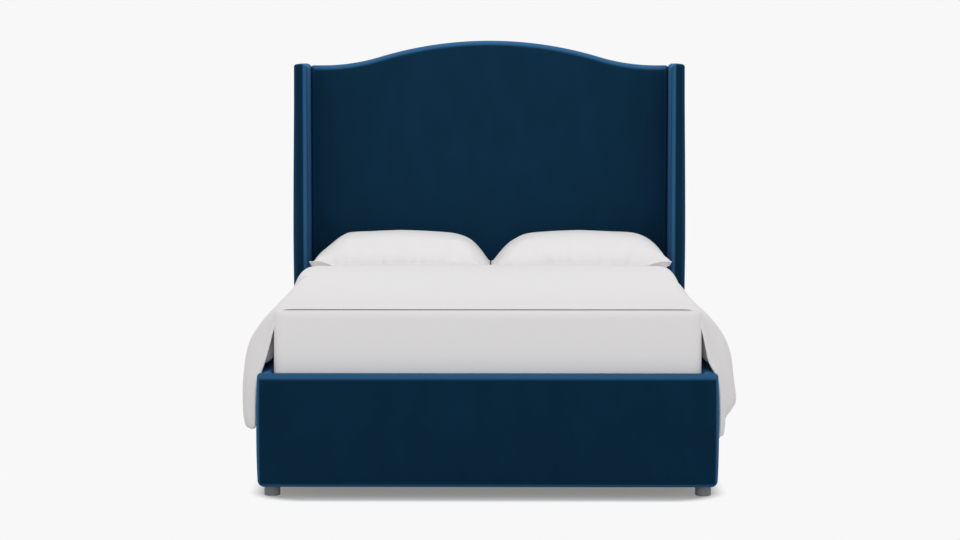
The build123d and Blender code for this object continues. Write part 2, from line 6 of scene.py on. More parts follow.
import bmesh
import bpy
import math
import numpy as np
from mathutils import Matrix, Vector


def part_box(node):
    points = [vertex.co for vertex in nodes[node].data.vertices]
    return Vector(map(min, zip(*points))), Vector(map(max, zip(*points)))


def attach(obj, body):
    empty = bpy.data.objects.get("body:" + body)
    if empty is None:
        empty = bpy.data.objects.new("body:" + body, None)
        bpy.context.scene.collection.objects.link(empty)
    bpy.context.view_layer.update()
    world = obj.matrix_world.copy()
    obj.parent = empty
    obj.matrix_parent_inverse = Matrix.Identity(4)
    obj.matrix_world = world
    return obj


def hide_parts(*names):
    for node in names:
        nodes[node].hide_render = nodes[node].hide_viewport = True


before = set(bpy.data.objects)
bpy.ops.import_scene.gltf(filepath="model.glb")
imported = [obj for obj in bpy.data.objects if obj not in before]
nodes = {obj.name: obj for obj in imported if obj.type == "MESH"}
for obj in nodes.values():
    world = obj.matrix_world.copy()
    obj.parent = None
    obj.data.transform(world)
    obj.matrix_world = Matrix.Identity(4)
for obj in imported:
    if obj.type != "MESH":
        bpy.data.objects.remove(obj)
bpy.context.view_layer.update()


# ------------------------------------------------------- The camera
# It stands about nine metres in front of the foot at eye height, with a long lens, so that the sides hardly
# converge, and tilts a little down to the bed, which stands in the middle half of the picture.
def in_scene(name, data):
    """A new object, in the scene."""
    made = bpy.data.objects.new(name, data)
    bpy.context.scene.collection.objects.link(made)
    return made


camera = in_scene("camera", bpy.data.cameras.new("camera"))
camera.location = (0.0356, -10.488, 1.6525)
camera.rotation_euler = (math.radians(90 - 5.073), 0, math.radians(0.379))
camera.data.sensor_width = 36
camera.data.lens = 100.17
camera.data.clip_end = 60
bpy.context.scene.camera = camera
bpy.context.scene.view_settings.view_transform = "Standard"


# ------------------------------------------------------- The studio's floor and light
# A pale painted floor runs into a white backdrop. The room's white walls light the bed from all round, with one
# large softbox over its head end and another low in front of its foot.
def colour(hex_code):
    """An sRGB hex colour as the linear one that Blender takes."""
    shares = [int(hex_code[i : i + 2], 16) / 255 for i in (1, 3, 5)]
    return [c / 12.92 if c <= 0.04045 else ((c + 0.055) / 1.055) ** 2.4 for c in shares] + [1.0]


def add(tree, kind, inputs=None, **settings):
    """One node with its settings. An input takes a value, a socket or a node, which gives its first output."""
    made = tree.nodes.new(kind)
    for name, value in settings.items():
        setattr(made, name, value)
    for name, value in (inputs or {}).items():
        value = value.outputs[0] if isinstance(value, bpy.types.Node) else value
        if isinstance(value, bpy.types.NodeSocket):
            tree.links.new(value, made.inputs[name])
        else:
            made.inputs[name].default_value = value
    return made


def new_material(name):
    """An empty node material, its tree, and the object's own coordinates there."""
    made = bpy.data.materials.new(name)
    made.use_nodes = True
    made.node_tree.nodes.clear()
    return made, made.node_tree, add(made.node_tree, "ShaderNodeTexCoord").outputs["Object"]


backdrop_white = colour("#F8F8F8")
floor_half = 9.0
# The floor keeps its paint, and the bed's shadow on it, out to shadow_reach past these half sizes of a rectangle
# under the bed. From there it fades into the backdrop. Within it a share of the backdrop's glow stays mixed in, a
# painted light that lifts the bed's shadow.
shaded_halves = (0.640, 0.945)
shadow_reach = 0.15
shadow_fade = 0.080
painted_glow_in_shadow = 0.24

floor_paint, tree, place = new_material("painted_studio_floor")
split = add(tree, "ShaderNodeSeparateXYZ", {0: place})
past = []
for axis, half in enumerate(shaded_halves):
    size = add(tree, "ShaderNodeMath", {0: split.outputs[axis]}, operation="ABSOLUTE")
    out = add(tree, "ShaderNodeMath", {0: size, 1: half}, operation="SUBTRACT")
    past.append(add(tree, "ShaderNodeMath", {0: out, 1: 0.0}, operation="MAXIMUM"))
joined = add(tree, "ShaderNodeCombineXYZ", {0: past[0], 1: past[1]})
away = add(tree, "ShaderNodeVectorMath", {0: joined}, operation="LENGTH").outputs["Value"]
fade = {"Value": away, "From Min": shadow_reach, "From Max": shadow_reach + shadow_fade, "To Min": painted_glow_in_shadow}
open_floor = add(tree, "ShaderNodeMapRange", fade, interpolation_type="SMOOTHSTEP")
seen = add(tree, "ShaderNodeLightPath").outputs["Is Camera Ray"]
share = add(tree, "ShaderNodeMath", {0: seen, 1: open_floor}, operation="MULTIPLY")
paint = add(tree, "ShaderNodeBsdfDiffuse", {"Color": colour("#D2D2D2")})
glow = add(tree, "ShaderNodeEmission", {"Color": backdrop_white})
mixed = add(tree, "ShaderNodeMixShader", {0: share, 1: paint, 2: glow})
add(tree, "ShaderNodeOutputMaterial", {"Surface": mixed})

floor_mesh = bpy.data.meshes.new("floor")
corners = [(x * floor_half, y * floor_half, 0) for x, y in ((-1, -1), (1, -1), (1, 1), (-1, 1))]
floor_mesh.from_pydata(corners, [], [(0, 1, 2, 3)])
floor_mesh.materials.append(floor_paint)
in_scene("floor", floor_mesh)

world = bpy.data.worlds.new("studio")
world.use_nodes = True
bpy.context.scene.world = world
tree = world.node_tree
tree.nodes.clear()
ray = add(tree, "ShaderNodeLightPath").outputs
either = add(tree, "ShaderNodeMath", {0: ray["Is Camera Ray"], 1: ray["Is Glossy Ray"]}, operation="MAXIMUM")
seen = add(tree, "ShaderNodeMath", {0: either, 1: ray["Is Transmission Ray"]}, operation="MAXIMUM")
walls = add(tree, "ShaderNodeBackground", {"Color": colour("#FFFFFF"), "Strength": 0.74})
backdrop = add(tree, "ShaderNodeBackground", {"Color": backdrop_white, "Strength": 1.0})
mixed = add(tree, "ShaderNodeMixShader", {0: seen, 1: walls, 2: backdrop})
add(tree, "ShaderNodeOutputWorld", {"Surface": mixed})


def softbox(name, place, aim, width, height, watts):
    """A flat lamp, turned to light a point."""
    lamp = bpy.data.lights.new(name, "AREA")
    lamp.shape = "RECTANGLE"
    lamp.size = width
    lamp.size_y = height
    lamp.energy = watts
    made = in_scene(name, lamp)
    made.location = place
    made.rotation_euler = (Vector(aim) - Vector(place)).to_track_quat("-Z", "Y").to_euler()


softbox("overhead", place=(0, 1.4, 3.3), aim=(0, 1.2, 0.5), width=2.6, height=2.0, watts=26)
softbox("front_fill", place=(0, -7.0, 1.5), aim=(0, 0, 0.5), width=4.0, height=2.4, watts=54)


# ------------------------------------------------------- Boards, slats and the headboard's frame
# Planed pine boards carry the bed: rail boards, ledgers, slats, a centre beam on two legs and the headboard's frame.
# Pine is pale, with darker lines of late wood along each board, and is left unvarnished inside the covers.
late_wood_spacing = 0.007
# How often the lines of late wood, and the slow drift that bends them, come in a metre across and along the grain.
late_wood = (1 / late_wood_spacing, 3.0)
drifts = (14.0, 0.7)
bend = (5.0, 5.0, 5.0)


def shaded(ramp, *stops):
    """Sets the stops of a colour ramp: each one's place and colour."""
    elements = ramp.color_ramp.elements
    while len(elements) < len(stops):
        elements.new(0.5)
    for element, (position, _) in zip(elements, stops):
        element.position = position
    for element, (_, hex_code) in zip(elements, stops):
        element.color = colour(hex_code)
    return ramp


def pine(name, along):
    """Planed pine with its grain along one axis."""
    made, tree, place = new_material(name)
    streaks = add(tree, "ShaderNodeMapping", {"Vector": place, "Scale": [drifts[axis == along] for axis in "xyz"]})
    drift = add(tree, "ShaderNodeTexNoise", {"Vector": streaks, "Scale": 2.2, "Detail": 3.0}).outputs["Color"]
    rings = add(tree, "ShaderNodeMapping", {"Vector": place, "Scale": [late_wood[axis == along] for axis in "xyz"]})
    bent = add(tree, "ShaderNodeVectorMath", {0: drift, 1: bend, 2: rings}, operation="MULTIPLY_ADD")
    grain = add(tree, "ShaderNodeTexNoise", {"Vector": bent, "Scale": 0.55, "Detail": 2.0, "Roughness": 0.4})
    tone = shaded(add(tree, "ShaderNodeValToRGB", {0: grain}), (0.38, "#E3C691"), (0.56, "#DDBB82"), (0.66, "#C79A5F"))
    raised = add(tree, "ShaderNodeBump", {"Height": grain, "Strength": 0.25, "Distance": 0.0006})
    finish = {"Base Color": tone, "Roughness": 0.62, "IOR": 1.5, "Normal": raised}
    wood = add(tree, "ShaderNodeBsdfPrincipled", finish)
    add(tree, "ShaderNodeOutputMaterial", {"Surface": wood})
    return made


def finish_nodes(material, *names):
    """Gives the material to boards or fittings that keep their CAD shape."""
    for name in names:
        nodes[name].data.materials.clear()
        nodes[name].data.materials.append(material)


headboard_rails = [f"headboard_{name}" for name in ("bearer", "crest_rail", "lower_rail", "middle_rail")]
both_side_boards = [f"{side}_{name}" for side in ("left", "right") for name in ("side_rail_board", "slat_ledger")]
uprights = [name.format(side) for side in ("left", "right") for name in ("headboard_{}_post", "{}_wing_board")]
finish_nodes(pine("planed_pine_across", "x"), "foot_rail_board", "slats", *headboard_rails)
finish_nodes(pine("planed_pine_along", "y"), "centre_beam", *both_side_boards)
finish_nodes(pine("planed_pine_upright", "z"), "centre_leg_1", "centre_leg_2", *uprights)


# ------------------------------------------------------- Plywood panel and corner blocks
# The headboard's panel and the two blocks that carry the front feet are birch plywood, sanded. Its face has a faint
# rotary-cut figure, and its edges show the crossing plies as light and dark lines.
ply_pitch = 0.0024
wave_to_pitch = 0.314  # A wave texture of scale 1 repeats about every third of a metre.

plywood, tree, place = new_material("sanded_birch_plywood")
figure = add(tree, "ShaderNodeMapping", {"Vector": place, "Scale": (1.2, 8.0, 6.0)})
swirl = add(tree, "ShaderNodeTexNoise", {"Vector": figure, "Scale": 1.6, "Detail": 4.0, "Distortion": 1.4})
face = shaded(add(tree, "ShaderNodeValToRGB", {0: swirl}), (0.35, "#E6CFA6"), (0.7, "#D2B283"))
plies = {"Vector": place, "Scale": wave_to_pitch / ply_pitch, "Distortion": 0.4, "Detail": 1.0}
plies = add(tree, "ShaderNodeTexWave", plies, bands_direction="DIAGONAL").outputs["Fac"]
lines = add(tree, "ShaderNodeMix", {0: plies, 6: colour("#D9BE92"), 7: colour("#A9814F")}, data_type="RGBA")
way = add(tree, "ShaderNodeNewGeometry").outputs["True Normal"]
sideways = add(tree, "ShaderNodeSeparateXYZ", {0: way})
facing = add(tree, "ShaderNodeMath", {0: sideways}, operation="ABSOLUTE")
edge = add(tree, "ShaderNodeMath", {0: facing, 1: 0.5}, operation="GREATER_THAN")
tone = add(tree, "ShaderNodeMix", {0: edge, 6: face, 7: lines.outputs[2]}, data_type="RGBA")
sanded = add(tree, "ShaderNodeBump", {"Height": swirl, "Strength": 0.15, "Distance": 0.0005})
finish = {"Base Color": tone.outputs[2], "Roughness": 0.58, "IOR": 1.5, "Normal": sanded}
board = add(tree, "ShaderNodeBsdfPrincipled", finish)
add(tree, "ShaderNodeOutputMaterial", {"Surface": board})
finish_nodes(plywood, "headboard_plywood", "front_left_foot_block", "front_right_foot_block")


# ------------------------------------------------------- Brackets, hangers, bolts and screws
# Pressed steel angles bolt the rails together, and hangers carry the beam. All of it is bright zinc plate, which is
# a cool grey with a cloudy spangle and fine scratches from handling.
spangle = 0.004
scratch_spacing = 1 / 900  # Scratches from handling lie closer than this, but would be too fine to show.

zinc, tree, place = new_material("bright_zinc_plated_steel")
clouds = add(tree, "ShaderNodeTexNoise", {"Vector": place, "Scale": 1 / spangle / 4, "Detail": 3.0})
tone = add(tree, "ShaderNodeMix", {0: clouds, 6: colour("#A9ADB3"), 7: colour("#C9CDD2")}, data_type="RGBA")
dull = add(tree, "ShaderNodeMapRange", {"Value": clouds, "To Min": 0.3, "To Max": 0.46})
marks = add(tree, "ShaderNodeTexNoise", {"Vector": place, "Scale": 1 / scratch_spacing, "Detail": 2.0})
scratched = add(tree, "ShaderNodeBump", {"Height": marks, "Strength": 0.12, "Distance": 0.0002})
finish = {"Base Color": tone.outputs[2], "Metallic": 1.0, "Roughness": dull, "Normal": scratched}
plated = add(tree, "ShaderNodeBsdfPrincipled", finish)
add(tree, "ShaderNodeOutputMaterial", {"Surface": plated})
angles = [f"{side}_{end}_bracket" for side in ("left", "right") for end in ("foot", "head")]
fasteners = ["bed_bolts", "wing_bolts", "beam_screws", "ledger_screws", "slat_screws"]
finish_nodes(zinc, "beam_foot_hanger", "beam_head_hanger", *angles, *fasteners)


# ------------------------------------------------------- Feet and levelling glides
# Four short round feet and two screw-in glides are moulded in grey polypropylene. The moulding has a fine spark
# grain that keeps it matt, with a soft highlight down each cylinder.
grain_size = 0.0012  # The real grain is a tenth of this and too fine to show.

plastic, tree, place = new_material("moulded_grey_polypropylene")
spark = add(tree, "ShaderNodeTexNoise", {"Vector": place, "Scale": 1 / grain_size, "Detail": 2.0})
tone = add(tree, "ShaderNodeMix", {0: spark, 6: colour("#7C7D81"), 7: colour("#88898D")}, data_type="RGBA")
grained = add(tree, "ShaderNodeBump", {"Height": spark, "Strength": 0.3, "Distance": 0.0003})
finish = {"Base Color": tone.outputs[2], "Roughness": 0.5, "IOR": 1.49, "Normal": grained}
moulded = add(tree, "ShaderNodeBsdfPrincipled", finish)
add(tree, "ShaderNodeOutputMaterial", {"Surface": moulded})
feet = [f"{end}_{side}_foot" for end in ("front", "back") for side in ("left", "right")]
finish_nodes(plastic, "levelling_glide_1", "levelling_glide_2", *feet)


# ------------------------------------------------------- Foot rail
# The foot rail is a pine board wrapped in foam and covered in blue cotton velvet, pulled round the ends and stapled
# inside. Velvet is dark seen square on and lighter where its pile turns away. Here that sheen is painted into its
# colour, so every rolled edge shows as a painted lighter band.
pile = 0.0014  # The tufts of the pile are about 0.3 mm apart, too fine to show, and are drawn this coarse.
nap_patch = 0.09

velvet, tree, place = new_material("blue_cotton_velvet")
brushed = add(tree, "ShaderNodeMapping", {"Vector": place, "Scale": (1.0, 1.0, 0.45)})
nap = {"Vector": brushed, "Scale": 1 / nap_patch, "Detail": 3.0, "Roughness": 0.55}
nap = add(tree, "ShaderNodeTexNoise", nap)
fibres = add(tree, "ShaderNodeTexNoise", {"Vector": place, "Scale": 1 / pile, "Detail": 2.0})
leaning = add(tree, "ShaderNodeMath", {0: fibres, 1: 0.35, 2: nap}, operation="MULTIPLY_ADD")
tone = shaded(add(tree, "ShaderNodeValToRGB", {0: leaning}), (0.45, "#05273C"), (0.95, "#072C44"))

# Each velvet mesh holds a painted sheen, a lighter blue painted into the colour: 0 where it is seen square on, 1 on a
# roll, and more where a brighter painted highlight goes.
painted_sheen = add(tree, "ShaderNodeAttribute", attribute_name="painted_sheen").outputs["Fac"]
with_roll_sheen = {0: painted_sheen, 6: tone, 7: colour("#31648E")}
with_roll_sheen = add(tree, "ShaderNodeMix", with_roll_sheen, data_type="RGBA", clamp_factor=False).outputs[2]
# More of a lighter blue is mixed in where the surface turns away from the view: painted sheen at grazing angles.
turned_away = add(tree, "ShaderNodeLayerWeight", {"Blend": 0.5}).outputs["Facing"]
grazing_sheen_share = {"Value": turned_away, "From Min": 0.5, "From Max": 0.98, "To Max": 0.2}
grazing_sheen_share = add(tree, "ShaderNodeMapRange", grazing_sheen_share, interpolation_type="SMOOTHSTEP")
lit_pile = add(tree, "ShaderNodeMix", {0: grazing_sheen_share, 6: with_roll_sheen, 7: colour("#33679A")}, data_type="RGBA")
ruffled = add(tree, "ShaderNodeBump", {"Height": fibres, "Strength": 0.35, "Distance": 0.0005})
finish = {
    "Base Color": lit_pile.outputs[2],
    "Roughness": 0.85,
    "IOR": 1.45,
    "Specular IOR Level": 0.08,
    "Sheen Weight": 0.25,
    "Sheen Roughness": 0.35,
    "Sheen Tint": colour("#66B4FF"),
    "Normal": ruffled,
}
cloth = add(tree, "ShaderNodeBsdfPrincipled", finish)
add(tree, "ShaderNodeOutputMaterial", {"Surface": cloth})


def rounded_sides(low_u, high_u, low_v, high_v, radius, across, up, in_corner=4):
    """A rounded rectangle as four runs of points, anticlockwise from below, that meet halfway round each corner."""
    low_radius, high_radius = radius if isinstance(radius, tuple) else (radius, radius)
    corners = [
        (low_u + low_radius, low_v + low_radius, low_radius),
        (high_u - low_radius, low_v + low_radius, low_radius),
        (high_u - high_radius, high_v - high_radius, high_radius),
        (low_u + high_radius, high_v - high_radius, high_radius),
    ]

    def arc(corner, start, stop):
        u, v, radius = corners[corner]
        angles = [math.radians(start + (stop - start) * i / in_corner) for i in range(in_corner + 1)]
        return [(u + radius * math.cos(a), v + radius * math.sin(a)) for a in angles]

    sides = []
    for i, count in enumerate((across, up, across, up)):
        first = arc(i, 225 + 90 * i, 270 + 90 * i)
        last = arc((i + 1) % 4, 270 + 90 * i, 315 + 90 * i)
        steps = [k / count for k in range(1, count)]
        run = [tuple(np.add(np.multiply(first[-1], 1 - s), np.multiply(last[0], s))) for s in steps]
        sides.append(np.array(first + run + last))
    return sides


def filled(sides):
    """A grid of points that spans four runs of points."""
    low, right, high, left = sides[0], sides[1], sides[2][::-1], sides[3][::-1]
    s, t = lengths_along(low, high)[None, :, None], lengths_along(left, right)[:, None, None]
    corners = (1 - s) * (1 - t) * low[0] + s * (1 - t) * low[-1] + (1 - s) * t * high[0] + s * t * high[-1]
    return (1 - t) * low[None] + t * high[None] + (1 - s) * left[:, None] + s * right[:, None] - corners


def lengths_along(first, second):
    """How far along two runs each point is, as a share, the mean of both."""
    shares = []
    for run in (first, second):
        steps = np.linalg.norm(np.diff(run, axis=0), axis=1)
        shares.append(np.concatenate([[0], np.cumsum(steps)]) / steps.sum())
    return (shares[0] + shares[1]) / 2


def quads(rows, columns, start=0):
    """The faces of a grid of points."""
    corners = [start + r * columns + c for r in range(rows - 1) for c in range(columns - 1)]
    return [(a, a + 1, a + columns + 1, a + columns) for a in corners]


def rim_of(rows, columns):
    """The row and column of each point round the edge of a grid, in turn."""
    return (
        [(0, c) for c in range(columns - 1)]
        + [(r, columns - 1) for r in range(rows - 1)]
        + [(rows - 1, c) for c in range(columns - 1, 0, -1)]
        + [(r, 0) for r in range(rows - 1, 0, -1)]
    )


same_point = 0.00002


def mesh_piece(name, points, faces, material, turned=()):
    """A smooth mesh object with its doubles merged and its faces outward, and its painted sheen."""
    mesh = bpy.data.meshes.new(name)
    work = bmesh.new()
    painted_sheen_layer = work.verts.layers.float.new("painted_sheen") if turned else None
    made = [work.verts.new(p) for p in points]
    for corner, share in zip(made, turned):
        corner[painted_sheen_layer] = share
    for face in faces:
        corners = list(dict.fromkeys(face))
        if len(corners) > 2:
            work.faces.new([made[i] for i in corners])
    bmesh.ops.remove_doubles(work, verts=work.verts, dist=same_point)
    bmesh.ops.recalc_face_normals(work, faces=work.faces)
    work.to_mesh(mesh)
    work.free()
    mesh.polygons.foreach_set("use_smooth", [True] * len(mesh.polygons))
    mesh.materials.append(material)
    return in_scene(name, mesh)


def padded_form(name, outline, profile, place, material, open_back=False, light=lambda u, v: 1.0):
    """A padded panel: its outline drawn in and set back by turns along the profile, from the front face to the back.

    Light scales the painted sheen at a place on the outline, where that isn't alike all round.
    """
    grid = filled(outline(profile[0][0]))
    rows, columns = grid.shape[:2]
    points = [(u, v, *profile[0][1:]) for u, v in grid.reshape(-1, 2)]
    faces = quads(rows, columns)
    rim = [r * columns + c for r, c in rim_of(rows, columns)]
    for inset, depth, turned in profile[1:]:
        ring = np.concatenate([side[:-1] for side in outline(inset)])
        new_rim = list(range(len(points), len(points) + len(ring)))
        points += [(u, v, depth, turned) for u, v in ring]
        for i in range(len(rim)):
            j = (i + 1) % len(rim)
            faces.append((rim[j], rim[i], new_rim[i], new_rim[j]))
        rim = new_rim
    if not open_back:
        faces += [(b, a, d, c) for a, b, c, d in quads(rows, columns, len(points))]
        points += [(u, v, *profile[-1][1:]) for u, v in filled(outline(profile[-1][0])).reshape(-1, 2)]
    shares = [turned * light(u, v) for u, v, _, turned in points]
    return mesh_piece(name, [place(*p[:3]) for p in points], faces, material, shares)


# Where along a quarter turn the painted sheen changes, round a front edge and round a back edge.
front_shares = (0, 0.1, 0.3, 0.8, 1)
back_shares = (0, 0.14, 0.5, 0.7, 1)


def rolled(front_inset, front_depth, thickness, back_roll, turn_in, steps=9, turned=(0.8, 0.4, 0.5), face=0.0):
    """A profile round the front edge, straight back, round the back edge and in behind.

    Each step of it is an inset, a depth and the painted sheen there, a lighter colour painted on as highlight. That is
    given in turned for the front edge, the flat between and the back edge, and in face for the front face.
    """
    profile = []
    front_sheen, flat_sheen, back_sheen = turned
    quarter = [(i / steps, math.pi / 2 * i / steps) for i in range(steps + 1)]
    for share, angle in quarter:
        levels = (face, front_sheen * 0.2, front_sheen, front_sheen, flat_sheen)
        inset, depth = front_inset * (1 - math.sin(angle)), front_depth * (1 - math.cos(angle))
        profile.append((inset, depth, np.interp(share, front_shares, levels)))
    for share, angle in quarter:
        levels = (flat_sheen, back_sheen, back_sheen, back_sheen * 0.4, 0)
        inset, depth = back_roll * (1 - math.cos(angle)), thickness - back_roll * (1 - math.sin(angle))
        profile.append((inset, depth, np.interp(share, back_shares, levels)))
    return profile + [(turn_in, thickness, 0.0)] * (turn_in > back_roll)


def swell(share, flatness=4):
    """How much a padded face stands out at a share of its width: none at the edges, all of it over the middle."""
    return max(0.0, 1 - abs(2 * share - 1) ** flatness)


def cover_thickness(piece, thickness):
    """Gives an open velvet cover the cloth's own thickness, inwards."""
    skin = piece.modifiers.new("cloth", "SOLIDIFY")
    skin.thickness = thickness
    skin.offset = -1


velvet_thickness = 0.002
rail_low, rail_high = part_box("foot_rail_cover")
rail_half = 0.820
foot_front = -1.091
foot_depth = rail_high.y - foot_front
# The foam swells each rail's face most at mid height, and the swelling ends this far back from the face.
rail_swell = 0.006
rail_fullness = 2.6
swell_depth = 0.03
end_swell = 0.8 * rail_swell
end_swell_reach = 0.02
low_corner = 0.024
high_corner = 0.010
least_corner = 0.003
rail_back_roll = 0.010
turned_in = 0.055


def foot_rail_place(u, v, depth):
    """A point of the foot rail's outline in its place, on the swollen face and ends."""
    bow = swell((v - rail_low.z) / (rail_high.z - rail_low.z), rail_fullness)
    front = max(0.0, 1 - depth / swell_depth) * swell(0.5 + u / rail_half / 2, 10)
    end = max(0.0, abs(u) - rail_half + end_swell_reach) / end_swell_reach
    return (u + math.copysign(end_swell * bow * end, u), foot_front + depth - rail_swell * bow * front, v)


def foot_rail_outline(inset):
    """The foot rail's face, drawn in less at its ends and its bottom than at its top."""
    half, low = rail_half - inset * 0.6, rail_low.z + inset * 0.8
    corners = (max(low_corner - inset, least_corner), max(high_corner - inset, least_corner))
    return rounded_sides(-half, half, low, rail_high.z - inset, corners, across=64, up=18)


foot_rail_velvet = padded_form(
    "foot_rail_velvet",
    foot_rail_outline,
    rolled(0.022, 0.034, foot_depth, rail_back_roll, turned_in),
    foot_rail_place,
    velvet,
    open_back=True,
)
cover_thickness(foot_rail_velvet, velvet_thickness)
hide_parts("foot_rail_cover", "foot_rail_foam")
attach(foot_rail_velvet, "frame")

# The velvet's edge is stapled to the inside of the board, along its top.
staple_pitch = 0.05
staple_crown = (0.0012, 0.0010, 0.0100)
hem_to_staples = 0.047
clear_of_brackets = 0.10


def row_of(name, shape, sockets, pitch, size, material):
    """A node tree that sets a small shape along lines, a pitch apart and turned along them, and its inputs."""
    tree = bpy.data.node_groups.new(name, "GeometryNodeTree")
    inputs = {}
    tree.interface.new_socket("Line", in_out="INPUT", socket_type="NodeSocketGeometry")
    for label, kind, value in (
        ("Pitch", "NodeSocketFloat", pitch),
        ("Size", "NodeSocketVector", size),
        ("Material", "NodeSocketMaterial", material),
    ):
        inputs[tree.interface.new_socket(label, in_out="INPUT", socket_type=kind).identifier] = value
    tree.interface.new_socket("Row", in_out="OUTPUT", socket_type="NodeSocketGeometry")
    given = add(tree, "NodeGroupInput").outputs
    line = add(tree, "GeometryNodeMeshToCurve", {"Mesh": given["Line"]})
    spots = add(tree, "GeometryNodeCurveToPoints", {"Curve": line, "Length": given["Pitch"]}, mode="LENGTH").outputs
    laid = add(tree, "FunctionNodeAlignRotationToVector", {"Vector": spots["Tangent"]}, axis="Z")
    one = add(tree, shape, sockets)
    set_out = {"Points": spots["Points"], "Instance": one, "Rotation": laid, "Scale": given["Size"]}
    set_out = add(tree, "GeometryNodeInstanceOnPoints", set_out)
    real = add(tree, "GeometryNodeRealizeInstances", {"Geometry": set_out})
    dressed = add(tree, "GeometryNodeSetMaterial", {"Geometry": real, "Material": given["Material"]})
    add(tree, "NodeGroupOutput", {"Row": dressed})
    return tree, inputs


def made_by(row, name, lines, body):
    """Runs a row's node tree over lines of points, keeps the result as a plain mesh and gives it to a body."""
    tree, inputs = row
    starts = np.cumsum([0] + [len(line) for line in lines])
    edges = [(a + i, a + i + 1) for a, line in zip(starts, lines) for i in range(len(line) - 1)]
    mesh = bpy.data.meshes.new(f"{name}_lines")
    mesh.from_pydata([tuple(p) for line in lines for p in line], edges, [])
    holder = in_scene(f"{name}_lines", mesh)
    maker = holder.modifiers.new("maker", "NODES")
    maker.node_group = tree
    for identifier, value in inputs.items():
        maker[identifier] = value
    made = bpy.data.meshes.new_from_object(holder.evaluated_get(bpy.context.evaluated_depsgraph_get()))
    bpy.data.objects.remove(holder)
    made.polygons.foreach_set("use_smooth", [True] * len(made.polygons))
    piece = in_scene(name, made)
    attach(piece, body)


def top_run(outline, place, depth):
    """Where the staples go: along the top of the board's inner face, clear of the brackets at its ends."""
    run = outline(hem_to_staples)[2][::-1]
    run = run[(run[:, 0] > run[0, 0] + clear_of_brackets) & (run[:, 0] < run[-1, 0] - clear_of_brackets)]
    return [place(u, v, depth + staple_crown[0] / 4) for u, v in run]


stapling = row_of("row_of_staples", "GeometryNodeMeshCube", {}, staple_pitch, staple_crown, zinc)
run = top_run(foot_rail_outline, foot_rail_place, foot_depth)
made_by(stapling, "foot_rail_staples", [run], "frame")


# ------------------------------------------------------- Side rails
# Each side rail is made as the foot rail is and butts between it and the wing. Its velvet runs lengthwise and turns
# in over the top, where the drape of the duvet leaves it open to view.
sides = {"left": -1, "right": 1}
side_rail_thickness = 0.051
# The flat top gets the brightest painted highlight, where the duvet's drape would leave it in shade.
side_rail_painted_sheen = (0.8, 1.6, 1.0)

for name, side in sides.items():
    low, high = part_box(f"{name}_side_rail_cover")

    def side_rail_place(u, v, depth):
        bow = swell((v - low.z) / (high.z - low.z), rail_fullness) * max(0.0, 1 - depth / swell_depth)
        return (side * (rail_half - depth + rail_swell * bow), u, v)

    def side_rail_outline(inset):
        ends, corner = inset * 0.4, max(0.005 - inset, 0.002)
        return rounded_sides(low.y + ends, high.y - ends, low.z + inset, high.z - inset, corner, across=70, up=18)

    piece = padded_form(
        f"{name}_side_rail_velvet",
        side_rail_outline,
        rolled(0.019, 0.032, side_rail_thickness, rail_back_roll, turned_in, turned=side_rail_painted_sheen),
        side_rail_place,
        velvet,
        open_back=True,
    )
    cover_thickness(piece, velvet_thickness)
    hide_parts(f"{name}_side_rail_cover", f"{name}_side_rail_foam")
    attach(piece, "frame")
    run = top_run(side_rail_outline, side_rail_place, side_rail_thickness)
    made_by(stapling, f"{name}_side_rail_staples", [run], "frame")


# ------------------------------------------------------- Wings
# A wing is an upright board wrapped all round in thin foam and velvet, closed down its back edge. Its front edge is
# fully rolled, and a painted highlight runs up each side of it, much brighter on the inner side.
wing_swell = 0.012
wing_roll = 0.021
wing_painted_sheen = (0.17, 0.03, 0.90)

for name, side in sides.items():
    low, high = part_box(f"{name}_wing_cover")
    wing_inner, wing_outer = sorted((abs(low.x), abs(high.x)))
    wing_thickness = wing_outer - wing_inner

    def wing_place(u, v, depth):
        bow = swell((u - low.y) / (high.y - low.y), 4) * swell((v - low.z) / (high.z - low.z), 1.6)
        bow *= max(0.0, 1 - depth / (wing_thickness / 2))
        return (side * (wing_outer - depth + wing_swell * bow), u, v)

    def wing_outline(inset):
        back, below, corner = high.y - inset * 0.3, low.z + inset * 0.4, max(0.012 - inset, least_corner)
        return rounded_sides(low.y + inset, back, below, high.z - inset, corner, across=16, up=70)

    piece = padded_form(
        f"{name}_wing_velvet",
        wing_outline,
        rolled(0.010, 0.012, wing_thickness, wing_roll, wing_roll, turned=wing_painted_sheen),
        wing_place,
        velvet,
    )
    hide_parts(f"{name}_wing_cover", f"{name}_wing_foam")
    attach(piece, "frame")


# ------------------------------------------------------- Headboard
# The camelback panel between the wings is plywood under thick foam, with the velvet pulled over the crest and
# stapled behind. The front edge is rolled all round and the face is plain, slightly crowned by the foam.

# The camelback is an arc over the middle that runs into a hollow arc towards each shoulder. Both turn alike, and the
# arc over the middle has crest_share of the two radii together.
crest_rise = 0.106
crest_half_span = 0.720
crest_share = 0.656
turn = 2 * math.atan(crest_rise / crest_half_span)
both_radii = crest_half_span / math.sin(turn)
low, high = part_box("headboard_front_cover")
panel_front = low.y
panel_depth = high.y - low.y
panel_half = high.x
shoulder = high.z - crest_rise
panel_low = low.z
panel_crown = 0.004
panel_roll = 0.040


def crest_height(x, inset):
    """How high the camelback stands at x, for the outline drawn in by inset."""
    crest_radius = both_radii * crest_share - inset
    shoulder_radius = both_radii * (1 - crest_share) + inset
    top = shoulder - inset + crest_rise
    x = abs(x)
    if x >= crest_half_span:
        return shoulder - inset
    if x <= crest_radius * math.sin(turn):
        return top - crest_radius + math.sqrt(crest_radius**2 - x**2)
    return shoulder - inset + shoulder_radius - math.sqrt(shoulder_radius**2 - (crest_half_span - x) ** 2)


